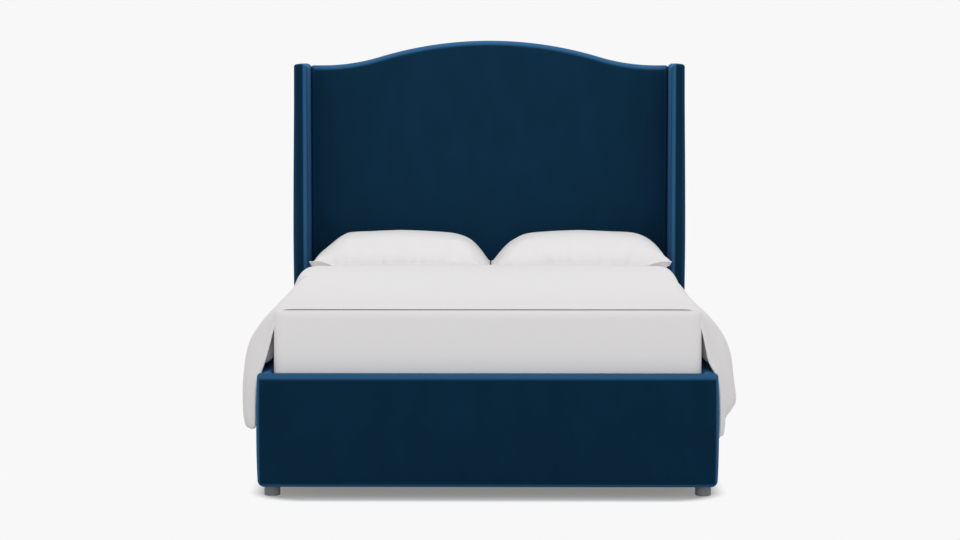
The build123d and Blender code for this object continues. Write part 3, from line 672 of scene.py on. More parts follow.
def headboard_outline(inset):
    """The panel's outline, a rectangle whose upper part is pushed up to the camelback."""
    half, low, top = panel_half - inset, panel_low + inset * 0.3, shoulder - inset
    runs = rounded_sides(-half, half, low, top, max(high_corner - inset, least_corner), across=90, up=60)
    for run in runs[1:]:
        for point in run:
            share = (point[1] - panel_low) / (top - panel_low)
            point[1] += (crest_height(point[0], inset) - top) * share**3
    return runs


def headboard_place(u, v, depth):
    across = swell(0.5 + u / panel_half / 2, 8)
    up = swell((v - panel_low) / (crest_height(u, 0) - panel_low), 8)
    return (u, panel_front + depth - panel_crown * across * up * max(0.0, 1 - depth / panel_roll), v)


def light_on_panel(u, v):
    """The painted sheen is full over the crest and most of the panel, and fainter on the edges beside the wings."""
    return 0.4 + 0.6 * swell(0.5 + u / panel_half / 2, 30)


# The panel's face also gets a faint painted sheen, so it reads lighter than the rails' faces.
headboard_velvet = padded_form(
    "headboard_velvet",
    headboard_outline,
    rolled(0.024, panel_roll, panel_depth, back_roll=0.002, turn_in=0.03, face=0.07),
    headboard_place,
    velvet,
    open_back=True,
    light=light_on_panel,
)
cover_thickness(headboard_velvet, velvet_thickness)
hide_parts("headboard_front_cover", "headboard_foam")
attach(headboard_velvet, "frame")


# ------------------------------------------------------- Back of the headboard
# The back is closed by a flat sheet of the same velvet, stretched over a tacking strip along the crest and stapled
# under the bottom edge. It hides the posts, rails and plywood.
back_low, back_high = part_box("headboard_back_cover")
back_thickness = back_high.y - back_low.y
back_edge = 0.0009
inside_the_back = 0.0005


def back_outline(inset):
    return headboard_outline(inset + inside_the_back)


def back_place(u, v, depth):
    return (u, back_high.y - depth, v)


back_velvet = padded_form(
    "headboard_back_velvet",
    back_outline,
    rolled(back_edge, back_edge, back_thickness, back_edge, back_edge, steps=2, turned=(0, 0, 0)),
    back_place,
    velvet,
)
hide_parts("headboard_back_cover")
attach(back_velvet, "frame")


# ------------------------------------------------------- Mattress
# The mattress is a foam core in a quilted knitted ticking, closed by a taped seam round its top and bottom rims.
# The ticking is off-white and matt, with a border that swells a little between the two tapes.
knit = 0.0015  # The loops are about half of this, and too fine to show.
quilting = 0.06

ticking, tree, place = new_material("quilted_knitted_ticking")
loops = add(tree, "ShaderNodeTexNoise", {"Vector": place, "Scale": 1 / knit, "Detail": 2.0})
turned = add(tree, "ShaderNodeMapping", {"Vector": place, "Rotation": (0.0, 0.0, math.radians(45))})
quilt = {"Vector": turned, "Scale": 1 / quilting, "Randomness": 0.0}
quilt = add(tree, "ShaderNodeTexVoronoi", quilt, feature="DISTANCE_TO_EDGE")
channel = add(tree, "ShaderNodeMapRange", {"Value": quilt, "From Max": 0.16}, interpolation_type="SMOOTHSTEP")
# The ticking is painted darker down the quilted channels, a painted shade in their grooves.
tone = add(tree, "ShaderNodeMix", {0: channel, 6: colour("#D6D3CC"), 7: colour("#ECEAE5")}, data_type="RGBA")
knitted = add(tree, "ShaderNodeBump", {"Height": loops, "Strength": 0.3, "Distance": 0.0005})
quilted = {"Height": channel, "Strength": 0.7, "Distance": 0.004, "Normal": knitted}
quilted = add(tree, "ShaderNodeBump", quilted)
finish = {
    "Base Color": tone.outputs[2],
    "Roughness": 0.9,
    "IOR": 1.5,
    "Specular IOR Level": 0.2,
    "Sheen Weight": 0.1,
    "Normal": quilted,
}
cloth = add(tree, "ShaderNodeBsdfPrincipled", finish)
add(tree, "ShaderNodeOutputMaterial", {"Surface": cloth})

mattress_low, mattress_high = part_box("mattress_cover")
mattress_depth = mattress_high.z - mattress_low.z
mattress_corner = 0.045
rim_roll = 0.021


def lying_outline(low, high, inset):
    """The outline of the mattress, or of what is stretched over it, seen from above."""
    corner = max(mattress_corner - inset, 0.02)
    edges = (low.x + inset, high.x - inset, low.y + inset, high.y - inset)
    return rounded_sides(*edges, corner, across=40, up=52, in_corner=5)


def mattress_outline(inset):
    return lying_outline(mattress_low, mattress_high, inset)


def mattress_place(u, v, depth):
    return (u, v, mattress_high.z - depth)


mattress = padded_form(
    "mattress",
    mattress_outline,
    rolled(rim_roll, rim_roll, mattress_depth, rim_roll, rim_roll),
    mattress_place,
    ticking,
)
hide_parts("mattress_cover", "mattress_core")
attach(mattress, "mattress")

# The tape round the lower rim is sewn with a spun polyester thread, a little proud of the ticking.
stitch_pitch = 0.009
stitch_size = (0.0017, 0.0017, 0.0066)
thread_proud = 0.0004
tape_height = 0.024

sewing_thread, tree, place = new_material("spun_polyester_thread")
twist = {"Vector": place, "Scale": wave_to_pitch / stitch_size[0], "Distortion": 0.6}
twist = add(tree, "ShaderNodeTexWave", twist, bands_direction="DIAGONAL").outputs["Fac"]
twisted = add(tree, "ShaderNodeBump", {"Height": twist, "Strength": 0.3, "Distance": 0.0002})
tone = add(tree, "ShaderNodeMix", {0: twist, 6: colour("#E2E0E0"), 7: colour("#EFEDED")}, data_type="RGBA")
finish = {"Base Color": tone.outputs[2], "Roughness": 0.6, "IOR": 1.55, "Specular IOR Level": 0.4, "Normal": twisted}
spun = add(tree, "ShaderNodeBsdfPrincipled", finish)
add(tree, "ShaderNodeOutputMaterial", {"Surface": spun})


def laid_on(piece, line):
    """The line drawn to the finished surface of a piece, standing proud of it by the thread."""
    finished = piece.evaluated_get(bpy.context.evaluated_depsgraph_get())
    found = [finished.closest_point_on_mesh([float(k) for k in p])[1:3] for p in line]
    return [spot + way * thread_proud for spot, way in found]


bead = {"Radius": 0.5, "Subdivisions": 1}
stitching = row_of("row_of_stitches", "GeometryNodeMeshIcoSphere", bead, stitch_pitch, stitch_size, sewing_thread)
rim = np.concatenate([side[:-1] for side in mattress_outline(0)])
rim = [mattress_place(u, v, mattress_depth - tape_height) for u, v in np.concatenate([rim, rim[:1]])]
made_by(stitching, "mattress_tape_stitches", [laid_on(mattress, rim)], "mattress")


# ------------------------------------------------------- Bottom sheet
# A fitted sheet of white cotton percale is stretched over the mattress and gathered under its edges by elastic. It
# shows only beside the pillows and in the gaps under the duvet.
thread = 0.0009  # Percale has about seven threads to a millimetre, too fine to show, and is drawn this coarse.
crease_spacing = 1 / 7

percale, tree, place = new_material("white_cotton_percale")
threads = add(tree, "ShaderNodeTexNoise", {"Vector": place, "Scale": 1 / thread, "Detail": 2.0})
creases = {"Vector": place, "Scale": 1 / crease_spacing, "Detail": 4.0, "Distortion": 0.6}
creases = add(tree, "ShaderNodeTexNoise", creases)
tone = add(tree, "ShaderNodeMix", {0: threads, 6: colour("#EDEBEB"), 7: colour("#F4F2F2")}, data_type="RGBA")
woven = add(tree, "ShaderNodeBump", {"Height": threads, "Strength": 0.15, "Distance": 0.0003})
creased = add(tree, "ShaderNodeBump", {"Height": creases, "Strength": 0.12, "Distance": 0.006, "Normal": woven})
finish = {
    "Base Color": tone.outputs[2],
    "Roughness": 0.88,
    "IOR": 1.5,
    "Specular IOR Level": 0.25,
    "Sheen Weight": 0.08,
    "Normal": creased,
}
cloth = add(tree, "ShaderNodeBsdfPrincipled", finish)
add(tree, "ShaderNodeOutputMaterial", {"Surface": cloth})

sheet_low, sheet_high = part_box("bottom_sheet")
sheet_drop = sheet_high.z - sheet_low.z
sheet_roll = 0.022
sheet_thickness = 0.0009


def sheet_outline(inset):
    return lying_outline(sheet_low, sheet_high, inset)


def sheet_place(u, v, depth):
    return (u, v, sheet_high.z - depth)


bottom_sheet = padded_form(
    "fitted_sheet",
    sheet_outline,
    rolled(sheet_roll, sheet_roll, sheet_drop, back_roll=0.0, turn_in=0.0, steps=5),
    sheet_place,
    percale,
    open_back=True,
)
cover_thickness(bottom_sheet, sheet_thickness)
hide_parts("bottom_sheet")
# It was cut to the mattress and hem more on each side, for the mattress's depth and the tuck under it.
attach(bottom_sheet, "mattress")


# ------------------------------------------------------- Duvet
# A white cotton cover over a light filling lies across the bed. It is tucked down between the mattress and the foot
# rail, hangs free over both side rails in soft folds, and its head end is folded back.
under_top = sheet_high.z + 0.0004

# Each row is a place along the bed, then the outer line of the hanging side there: outward and up, edge to hem.
left_hang = [
    (-1.013, [(0.700, 0.674), (0.731, 0.671), (0.752, 0.655), (0.764, 0.628), (0.773, 0.597), (0.790, 0.530),
              (0.806, 0.475), (0.817, 0.444), (0.829, 0.418), (0.835, 0.370), (0.8375, 0.310), (0.838, 0.247)]),
    (-0.905, [(0.700, 0.675), (0.745, 0.670), (0.779, 0.648), (0.811, 0.611), (0.841, 0.560), (0.863, 0.505),
              (0.877, 0.440), (0.882, 0.370), (0.880, 0.300), (0.875, 0.254), (0.865, 0.226)]),
    (-0.850, [(0.700, 0.675), (0.749, 0.670), (0.787, 0.645), (0.828, 0.597), (0.861, 0.545), (0.879, 0.485),
              (0.888, 0.410), (0.891, 0.340), (0.890, 0.275), (0.885, 0.233)]),
    (-0.780, [(0.700, 0.676), (0.749, 0.670), (0.789, 0.643), (0.832, 0.594), (0.867, 0.538), (0.884, 0.475),
              (0.890, 0.400), (0.893, 0.330), (0.891, 0.275), (0.886, 0.242)]),
    (-0.580, [(0.700, 0.678), (0.750, 0.672), (0.784, 0.646), (0.817, 0.598), (0.844, 0.540), (0.858, 0.470),
              (0.864, 0.390), (0.866, 0.310), (0.862, 0.244)]),
    (-0.400, [(0.700, 0.680), (0.746, 0.673), (0.781, 0.645), (0.817, 0.602), (0.849, 0.540), (0.870, 0.465),
              (0.882, 0.385), (0.885, 0.300), (0.879, 0.228)]),
    (-0.170, [(0.700, 0.684), (0.744, 0.674), (0.772, 0.650), (0.806, 0.606), (0.833, 0.545), (0.848, 0.475),
              (0.856, 0.395), (0.858, 0.315), (0.855, 0.248)]),
    (0.030, [(0.700, 0.687), (0.741, 0.677), (0.769, 0.650), (0.803, 0.606), (0.838, 0.545), (0.861, 0.470),
             (0.872, 0.390), (0.875, 0.305), (0.871, 0.236)]),
    (0.144, [(0.700, 0.6894), (0.734, 0.678), (0.757, 0.653), (0.786, 0.613), (0.827, 0.548), (0.853, 0.475),
             (0.865, 0.395), (0.868, 0.312), (0.865, 0.242)]),
    (0.159, [(0.700, 0.690), (0.733, 0.687), (0.758, 0.676), (0.776, 0.649), (0.789, 0.617), (0.821, 0.548),
             (0.839, 0.475), (0.848, 0.395), (0.852, 0.320), (0.850, 0.248)]),
    (0.320, [(0.700, 0.693), (0.733, 0.690), (0.761, 0.677), (0.781, 0.649), (0.798, 0.612), (0.821, 0.548),
             (0.834, 0.475), (0.842, 0.400), (0.846, 0.330), (0.844, 0.258)]),
    (0.504, [(0.700, 0.696), (0.731, 0.693), (0.761, 0.680), (0.787, 0.650), (0.804, 0.604), (0.820, 0.550),
             (0.833, 0.480), (0.841, 0.400), (0.845, 0.330), (0.843, 0.268)]),
]
right_hang = [
    (-1.013, [(0.700, 0.674), (0.731, 0.671), (0.751, 0.655), (0.763, 0.626), (0.777, 0.575), (0.789, 0.518),
              (0.796, 0.484), (0.807, 0.465), (0.822, 0.441), (0.831, 0.410), (0.837, 0.340), (0.838, 0.240),
              (0.833, 0.208)]),
    (-0.975, [(0.700, 0.6745), (0.738, 0.670), (0.763, 0.653), (0.784, 0.617), (0.802, 0.562), (0.817, 0.503),
              (0.830, 0.440), (0.840, 0.370), (0.845, 0.300), (0.845, 0.240), (0.840, 0.209)]),
    (-0.945, [(0.700, 0.675), (0.742, 0.670), (0.773, 0.650), (0.801, 0.607), (0.824, 0.550), (0.840, 0.490),
              (0.849, 0.430), (0.854, 0.360), (0.855, 0.290), (0.855, 0.250), (0.851, 0.211)]),
    (-0.918, [(0.700, 0.675), (0.745, 0.670), (0.780, 0.648), (0.814, 0.603), (0.843, 0.551), (0.862, 0.490),
              (0.872, 0.425), (0.874, 0.370), (0.870, 0.312), (0.861, 0.266)]),
    (-0.875, [(0.700, 0.676), (0.747, 0.670), (0.785, 0.645), (0.827, 0.597), (0.857, 0.545), (0.877, 0.485),
              (0.887, 0.420), (0.893, 0.370), (0.895, 0.330), (0.891, 0.298)]),
    (-0.810, [(0.700, 0.676), (0.746, 0.670), (0.788, 0.643), (0.833, 0.594), (0.865, 0.545), (0.887, 0.480),
              (0.895, 0.410), (0.901, 0.365), (0.906, 0.330), (0.904, 0.306)]),
    (-0.650, [(0.700, 0.677), (0.743, 0.671), (0.780, 0.645), (0.822, 0.600), (0.854, 0.542), (0.872, 0.470),
              (0.881, 0.395), (0.884, 0.335), (0.880, 0.288)]),
    (-0.430, [(0.700, 0.680), (0.740, 0.672), (0.771, 0.646), (0.812, 0.605), (0.850, 0.552), (0.870, 0.480),
              (0.880, 0.395), (0.883, 0.310), (0.877, 0.240)]),
    (-0.190, [(0.700, 0.683), (0.737, 0.674), (0.767, 0.648), (0.797, 0.608), (0.831, 0.552), (0.848, 0.480),
              (0.856, 0.395), (0.859, 0.315), (0.855, 0.246)]),
    (0.030, [(0.700, 0.687), (0.737, 0.677), (0.767, 0.650), (0.792, 0.610), (0.828, 0.550), (0.857, 0.475),
             (0.872, 0.390), (0.876, 0.305), (0.872, 0.233)]),
    (0.144, [(0.700, 0.6888), (0.729, 0.681), (0.753, 0.663), (0.769, 0.638), (0.792, 0.602), (0.825, 0.545),
             (0.850, 0.475), (0.863, 0.395), (0.867, 0.310), (0.863, 0.241)]),
    (0.159, [(0.700, 0.690), (0.731, 0.684), (0.750, 0.670), (0.764, 0.640), (0.783, 0.595), (0.813, 0.548),
             (0.834, 0.475), (0.846, 0.395), (0.850, 0.320), (0.848, 0.245)]),
    (0.320, [(0.700, 0.693), (0.732, 0.687), (0.753, 0.673), (0.769, 0.643), (0.787, 0.598), (0.811, 0.548),
             (0.829, 0.475), (0.840, 0.400), (0.844, 0.330), (0.842, 0.256)]),
    (0.504, [(0.700, 0.696), (0.731, 0.689), (0.752, 0.673), (0.771, 0.642), (0.788, 0.598), (0.811, 0.550),
             (0.828, 0.480), (0.839, 0.400), (0.843, 0.330), (0.841, 0.266)]),
]
# Between the last station before it and the first behind it, the cover steps up onto its folded-back end. The rows of
# points lie closer there.
folded_back = 0.152
fold_rows = np.array([-0.016, -0.012, -0.009, -0.006, -0.003, 0.0, 0.003, 0.006, 0.010, 0.014])
fold_rows_reach = 0.018
flat_half = 0.700
hang_thickness = 0.011
hang_columns = 30
flat_columns = 40
length_rows = 86
row_spread = 1.25

# Broad folds of two widths swing the hanging sides out and lift their hems, from folds_from back. In front of that,
# beside the foot rail's end, the cloth has a few narrow ripples.
fold_widths = (0.235, 0.121)
fold_swing = 0.0085
folds_from = (-0.80, -0.62)
hem_lift = 0.006
ripple_width = 0.062
ripple_swing = 0.0045
ripples_from = -0.99
ripples_to = (-0.90, -0.84)
puff_height = 0.0018
crown_height = 0.005


def through(knots, values, at):
    """Values at places between the knots, on a smooth line through them all."""
    knots, values, at = np.array(knots), np.array(values, float), np.array(at)
    rises = np.diff(values, axis=0) / np.diff(knots).reshape((-1,) + (1,) * (values.ndim - 1))
    slopes = np.concatenate([rises[:1], (rises[:-1] + rises[1:]) / 2, rises[-1:]])
    smaller = np.minimum(np.abs(rises[:-1]), np.abs(rises[1:])) * 3
    slopes[1:-1] = np.clip(slopes[1:-1], -smaller, smaller) * (rises[:-1] * rises[1:] > 0)
    i = np.clip(np.searchsorted(knots, at, side="right") - 1, 0, len(knots) - 2)
    gap = knots[i + 1] - knots[i]
    t = (at - knots[i]) / gap
    shape = (-1,) + (1,) * (values.ndim - 1)
    t, gap = t.reshape(shape), gap.reshape(shape)
    return (
        (2 * t**3 - 3 * t**2 + 1) * values[i]
        + (t**3 - 2 * t**2 + t) * gap * slopes[i]
        + (3 * t**2 - 2 * t**3) * values[i + 1]
        + (t**3 - t**2) * gap * slopes[i + 1]
    )


def evened(line, count):
    """A smooth line through the points, as that many points evenly spaced along it."""
    line = np.array(line)
    along = np.concatenate([[0], np.cumsum(np.linalg.norm(np.diff(line, axis=0), axis=1))])
    dense = through(along, line, np.linspace(0, along[-1], 300))
    along = np.concatenate([[0], np.cumsum(np.linalg.norm(np.diff(dense, axis=0), axis=1))])
    at = np.linspace(0, along[-1], count)
    return np.stack([np.interp(at, along, dense[:, k]) for k in range(2)], axis=1)


def stepped(value, low, high):
    """Nought below low, one above high, and eased between."""
    t = np.clip((value - low) / (high - low), 0, 1)
    return t * t * (3 - 2 * t)


def hanging_side(hang, places, phase):
    """The hanging side's outer surface, row by row: out from the middle, place along the bed, height."""
    lines = np.array([evened(line, hang_columns) for _, line in hang])
    rows = through([place for place, _ in hang], lines, places)
    depth = rows[:, :1, 1] - rows[:, :, 1]
    along = np.array(places)[:, None]
    broad, narrow = (along * 2 * math.pi / width for width in fold_widths)
    fold = (0.6 * np.sin(broad + phase) + 0.4 * np.sin(narrow + 2.1 * phase)) * stepped(along, *folds_from)
    ripple = np.sin((along - places[0]) * 2 * math.pi / ripple_width + phase)
    ripple = ripple * stepped(along, places[0], ripples_from) * (1 - stepped(along, *ripples_to))
    swung = fold_swing * fold * stepped(depth, 0.10, 0.42) + ripple_swing * ripple * stepped(depth, 0.16, 0.40)
    out = rows[:, :, 0] + swung
    up = rows[:, :, 1] + hem_lift * fold * stepped(depth, 0.36, 0.46)
    return np.stack([out, np.broadcast_to(along, out.shape), up], axis=2)


front_edge = left_hang[0][0]
head_edge = left_hang[-1][0]
places = front_edge + (head_edge - front_edge) * np.linspace(0, 1, length_rows + 1) ** row_spread
places = places[np.abs(places - folded_back) > fold_rows_reach]
places = np.sort(np.concatenate([places, folded_back + fold_rows]))
left_side = hanging_side(left_hang, places, phase=0.7)
right_side = hanging_side(right_hang, places, phase=2.3)
left_side[:, :, 0] *= -1
across = np.linspace(-1, 1, flat_columns + 1)[1:-1]
edge_height = (left_side[:, :1, 2] * (1 - across) + right_side[:, :1, 2] * (1 + across)) / 2
along = places[:, None]
puff = np.sin(across * 7.1 + along * 3.0 + 0.6) * np.sin(along * 5.3 + 1.1) * stepped(along, -0.98, -0.80)
crown = (1 - across**2) * stepped(along, -0.9, 0.3)
top_height = edge_height + crown_height * crown + puff_height * puff
top = np.stack(np.broadcast_arrays(across * flat_half, along, top_height), axis=2)
outer = np.concatenate([left_side[:, ::-1], top, right_side], axis=1)


def normals_of(grid):
    """Unit normals of a grid of points, outward from the bed."""
    down = np.gradient(grid, axis=0)
    side = np.gradient(grid, axis=1)
    crossed = np.cross(side, down)
    return crossed / np.linalg.norm(crossed, axis=2, keepdims=True)


# A crease just in front of the folded-back end runs from the shoulders of the top down both hanging sides.
crease_before = 0.004
crease_width = 0.0055
crease_depth = 0.0045
ways = normals_of(outer)
creased = np.exp(-(((outer[:, :, 1] - folded_back + crease_before) / crease_width) ** 2))
creased = creased * stepped(np.abs(outer[:, :, 0]), 0.64, 0.75)
outer = outer - ways * (crease_depth * creased)[:, :, None]

# Where the cover lies level, the filling reaches down to the sheet and thins out over front_thinned at the front edge.
# Where it hangs, it is hang_thickness thick.
least_filling = 0.003
front_thinned = 0.05
front_thinning = 0.80
level = stepped(ways[:, :, 2], 0.55, 0.97)
sunk = np.clip(outer[:, :, 2] - under_top, least_filling, 1)
thickness = hang_thickness * (1 - level) + sunk / np.clip(ways[:, :, 2], 0.5, 1) * level
edge_thin = 1 - front_thinning * (1 - stepped(outer[:, :, 1], front_edge, front_edge + front_thinned)) * level

# Behind its front edge it swells in towards the mattress and closes the gap over the side rail.
beside_mattress = 0.7685
most_swelling = 0.07
swelling_from, swelling_above = (front_edge, front_edge + 0.07), (0.458, 0.490)
gap = (np.abs(outer[:, :, 0]) - beside_mattress) / np.clip(np.abs(ways[:, :, 0]), 0.5, 1) - thickness
swollen = stepped(outer[:, :, 1], *swelling_from) * stepped(outer[:, :, 2], *swelling_above) * (1 - level)
inner = outer - ways * (thickness * edge_thin + np.clip(gap, 0, most_swelling) * swollen)[:, :, None]
edge_roundness = 0.42


def shell_of(outer, inner):
    """A closed shell between two grids of points, with its edges rounded: its points and faces."""
    rows, columns = outer.shape[:2]
    points = [tuple(p) for p in outer.reshape(-1, 3)] + [tuple(p) for p in inner.reshape(-1, 3)]
    count = rows * columns
    faces = []
    for quad in quads(rows, columns):
        faces += [quad, tuple(count + i for i in reversed(quad))]
    rim = rim_of(rows, columns)
    start = len(points)
    for r, c in rim:
        within = (min(max(r, 1), rows - 2), min(max(c, 1), columns - 2))
        away = outer[r, c] - outer[within]
        away = away / max(np.linalg.norm(away), 1e-9)
        across_it = np.linalg.norm(outer[r, c] - inner[r, c])
        points.append(tuple((outer[r, c] + inner[r, c]) / 2 + away * across_it * edge_roundness))
    for i, (r, c) in enumerate(rim):
        j = (i + 1) % len(rim)
        here, there = r * columns + c, rim[j][0] * columns + rim[j][1]
        faces.append((here, start + i, start + j, there))
        faces.append((start + i, here + count, there + count, start + j))
    return points, faces


points, faces = shell_of(outer, inner)

# The tucked front runs up from behind the foot rail, round both corners of the mattress, and under the top. It bows
# out a little over the foot rail.
tuck_front = -1.0324
tuck_half = 0.7652
tuck_back = -0.900
tuck_low = 0.380
tuck_high = 0.6675
tuck_roll = 0.026
tuck_corner = 0.038
least_tuck_corner = 0.016
tuck_thickness = 0.0028
front_bow = 0.0035
bowed_above = (0.452, 0.50)


def round_the_front(inset, count=44, in_corner=9, beside=6):
    """The path of the tucked cloth round the foot of the mattress, drawn in by inset."""
    half, front, radius = tuck_half - inset, tuck_front + inset, max(tuck_corner - inset, least_tuck_corner)
    left = [(-half, tuck_back + (front + radius - tuck_back) * i / beside) for i in range(beside)]
    angles = [math.pi + math.pi / 2 * i / in_corner for i in range(in_corner + 1)]
    corner = [(-half + radius + radius * math.cos(a), front + radius + radius * math.sin(a)) for a in angles]
    middle = [((-half + radius) * (1 - 2 * i / count), front) for i in range(1, count)]
    right = [(-x, y) for x, y in (left + corner)[::-1]]
    return left + corner + middle + right


upright_rows, roll_rows = 14, 8
rise = [(0.0, tuck_low + (tuck_high - tuck_roll - tuck_low) * i / upright_rows) for i in range(upright_rows)]
quarter = [math.pi / 2 * i / roll_rows for i in range(roll_rows + 1)]
rise += [(tuck_roll * (1 - math.cos(a)), tuck_high - tuck_roll * (1 - math.sin(a))) for a in quarter]
rise += [(0.045, tuck_high - 0.0012), (0.075, tuck_high - 0.004)]
front = []
for inset, height in rise:
    bow = front_bow * stepped(height, *bowed_above)
    row = []
    for x, y in round_the_front(inset):
        facing = stepped(tuck_front + 0.06 - y, 0.0, 0.06)
        row.append((x, y - bow * facing * swell(0.5 + x / tuck_half / 2, 8), height))
    front.append(row)
front = np.array(front)
more_points, more_faces = shell_of(front, front - normals_of(front) * tuck_thickness)
start = len(points)
points += more_points
faces += [tuple(start + i for i in face) for face in more_faces]
duvet = mesh_piece("duvet_cover", points, faces, percale)
soft = duvet.modifiers.new("soft", "SUBSURF")
soft.levels = soft.render_levels = 1
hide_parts("duvet")
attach(duvet, "duvet")

# A row of lock stitch runs along each hanging hem and the head end, two fingers in from the edge.
hems = [laid_on(duvet, hem) for hem in (outer[2:-2, 2], outer[2:-2, -3], outer[-3, 2:-2])]
made_by(stitching, "duvet_hem_stitches", hems, "duvet")


# ------------------------------------------------------- Pillows
# Two soft pillows in white cotton cases lie flat side by side against the headboard. A case is two panels sewn round
# the edge and turned out, so the filling crowns its middle, the seam puckers and the corners stay flat and pointed.

# How full each pillow is at a distance from its outer end, from its inner end and from its long sides.
outer_end = {
    "left": [(0, 0), (0.012, 0.10), (0.030, 0.23), (0.062, 0.42), (0.087, 0.58), (0.120, 0.79), (0.150, 0.92),
             (0.185, 0.945), (0.245, 0.958), (0.300, 0.98), (0.376, 1)],
    "right": [(0, 0), (0.007, 0.15), (0.030, 0.37), (0.055, 0.55), (0.082, 0.71), (0.115, 0.84), (0.156, 0.925),
              (0.245, 0.955), (0.300, 0.975), (0.376, 1)],
}
inner_end = {
    "left": [(0, 0), (0.016, 0.10), (0.039, 0.33), (0.057, 0.50), (0.085, 0.70), (0.114, 0.81), (0.143, 0.875),
             (0.172, 0.915), (0.230, 0.95), (0.300, 0.98), (0.376, 1)],
    "right": [(0, 0), (0.016, 0.08), (0.039, 0.26), (0.059, 0.44), (0.085, 0.61), (0.114, 0.75), (0.143, 0.86),
              (0.172, 0.91), (0.230, 0.95), (0.300, 0.98), (0.376, 1)],
}
long_side = [(0, 0), (0.012, 0.16), (0.030, 0.36), (0.070, 0.66), (0.120, 0.87), (0.180, 0.97), (0.240, 1)]
end_edges = {"left": (0.7500, -0.0054), "right": (0.7610, 0.0062)}
beside_wing = 0.7655
pillow_seam = 0.031
pillow_crown = 0.156
ear_rise = 0.022
inner_drop = 0.012
pillow_columns = 84
pillow_rows = 48
cell_spread = 1.12
end_pull = 0.008
side_pull = 0.017
off_sheet = 0.0008
# The lower panel turns under between these distances from the inner end and sides, and from the outer end.
turned_under = (0.002, 0.030)
turned_under_outer = (0.006, 0.058)
pucker_pitch = 0.056
pucker_depth = 0.0075
pucker_at = 0.026
pucker_reach = 0.015
pressing_frames = 14
evening_rounds = 2
pressed_at_most = 0.012


def pressed_out(piece, sewn):
    """Lets the filling press the case out from its seam as cloth, and keeps the shape that this gives."""
    before = np.empty(len(piece.data.vertices) * 3)
    piece.data.vertices.foreach_get("co", before)
    before = before.reshape(-1, 3)
    seam = piece.vertex_groups.new(name="seam")
    seam.add(sewn, 1.0, "REPLACE")
    filling = piece.modifiers.new("filling", "CLOTH")
    case = filling.settings
    case.quality = 6
    case.mass = 0.25
    case.tension_stiffness = case.compression_stiffness = 14
    case.shear_stiffness = 4
    case.bending_stiffness = 0.3
    case.use_pressure = True
    case.uniform_pressure_force = 2.0
    case.shrink_min = -0.035
    case.vertex_group_mass = "seam"
    case.effector_weights.gravity = 0
    filling.point_cache.frame_start = 1
    filling.point_cache.frame_end = pressing_frames
    for frame_number in range(1, pressing_frames + 1):
        bpy.context.scene.frame_set(frame_number)
    pressed = piece.evaluated_get(bpy.context.evaluated_depsgraph_get()).data
    after = np.empty(len(before) * 3)
    pressed.vertices.foreach_get("co", after)
    moved = after.reshape(-1, 3) - before
    piece.modifiers.remove(filling)
    piece.vertex_groups.clear()
    bpy.context.scene.frame_set(1)

    # Each point's move is evened out with its neighbours' and held under pressed_at_most.
    ends = np.array([edge.vertices[:] for edge in piece.data.edges])
    shared = np.bincount(ends.ravel(), minlength=len(before))[:, None]
    for _ in range(evening_rounds):
        beside = np.zeros_like(moved)
        np.add.at(beside, ends[:, 0], moved[ends[:, 1]])
        np.add.at(beside, ends[:, 1], moved[ends[:, 0]])
        moved = (moved + beside / shared) / 2
    far = np.maximum(np.linalg.norm(moved, axis=1, keepdims=True), 1e-9)
    return before + moved / far * pressed_at_most * np.tanh(far / pressed_at_most)


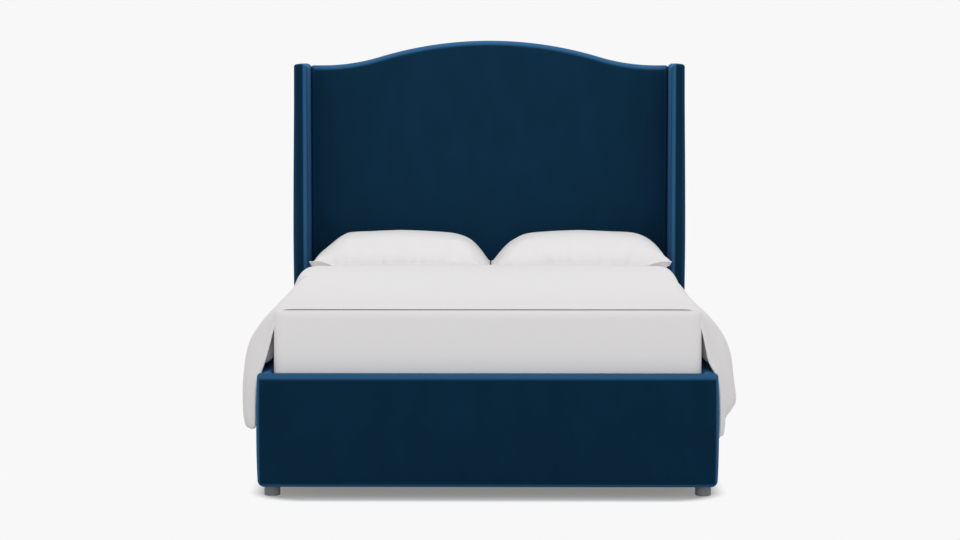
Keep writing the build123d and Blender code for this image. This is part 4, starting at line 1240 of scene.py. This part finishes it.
for name, side in sides.items():
    low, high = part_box(f"{name}_pillow")
    outer_edge, inner_edge = end_edges[name]
    middle = (low + high) / 2
    middle.x = side * (outer_edge + inner_edge) / 2
    half_x, half_y = (outer_edge - inner_edge) / 2, (high.y - low.y) / 2
    across = np.linspace(-1, 1, pillow_columns + 1)[None, :]
    back = np.linspace(-1, 1, pillow_rows + 1)[:, None]
    across, back = (np.sign(k) * (1 - (1 - np.abs(k)) ** cell_spread) for k in (across, back))
    at_outer = across > 0
    from_outer, from_inner = (1 - across) * half_x, (1 + across) * half_x
    from_side = (1 - np.abs(back)) * half_y
    near_outer = through(*zip(*outer_end[name]), from_outer[0])
    near_inner = through(*zip(*inner_end[name]), from_inner[0])
    ends = np.where(from_outer[0] < from_inner[0], near_outer, near_inner)[None, :]
    filled_out = ends * np.interp(from_side, *zip(*long_side))
    x = middle.x + side * across * half_x * (1 - end_pull / half_x * (1 - back**2) * at_outer)
    y = middle.y + back * half_y * (1 - side_pull / half_y * (1 - across**2))
    from_edge = np.minimum(np.minimum(from_outer, from_inner), from_side)
    lifted = ear_rise * (1 - stepped(from_outer, 0.040, 0.130)) * stepped(-back, 0.55, 1.0)
    seam_height = low.z + pillow_seam + lifted - inner_drop * (1 - stepped(from_inner, 0, 0.10))
    upper = seam_height + (pillow_crown - pillow_seam) * filled_out
    turn_starts, turn_ends = (np.where(at_outer, *pair) for pair in zip(turned_under_outer, turned_under))
    bottom = low.z + off_sheet
    lower = bottom + (seam_height - bottom) * (1 - stepped(from_edge, turn_starts, turn_ends))
    panels = [np.stack(np.broadcast_arrays(x, y, z), axis=2) for z in (upper, lower)]
    size = panels[0].shape[:2]
    faces = quads(*size) + [tuple(reversed(quad)) for quad in quads(*size, size[0] * size[1])]
    piece = mesh_piece(f"{name}_pillow_case", np.concatenate([p.reshape(-1, 3) for p in panels]), faces, percale)
    sewn_at = {tuple(np.round(panels[0][at], 4)) for at in rim_of(*size)}
    sewn = [v.index for v in piece.data.vertices if tuple(np.round(v.co, 4)) in sewn_at]
    shape = pressed_out(piece, sewn)

    # The thread of the front seam gathers the upper panel into puckers of uneven widths.
    runs = 2 * math.pi * shape[:, 0] / pucker_pitch
    near_seam = np.exp(-(((shape[:, 1] - low.y - pucker_at) / pucker_reach) ** 2))
    near_seam = near_seam * (shape[:, 2] > low.z + pillow_seam)
    pulled = (0.5 + 0.5 * np.sin(runs + 1.7 * np.sin(runs / 2.7))) ** 2 * near_seam * pucker_depth
    shape[:, 1:] += pulled[:, None] * np.array([0.8, -0.6])
    shape[:, 0] = side * np.clip(side * shape[:, 0], inner_edge, beside_wing)
    shape[:, 1] = np.clip(shape[:, 1], low.y - 0.002, high.y + 0.002)
    shape[:, 2] = np.maximum(shape[:, 2], low.z + off_sheet / 2)
    piece.data.vertices.foreach_set("co", shape.ravel())
    piece.data.update()
    soft = piece.modifiers.new("soft", "SUBSURF")
    soft.levels = soft.render_levels = 1
    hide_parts(f"{name}_pillow")
    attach(piece, f"{name}_pillow")
    inside = panels[0][2:-2, 2:-2]
    ring = [inside[at] for at in rim_of(*inside.shape[:2]) + [(0, 0)]]
    made_by(stitching, f"{name}_pillow_stitches", [laid_on(piece, ring)], f"{name}_pillow")
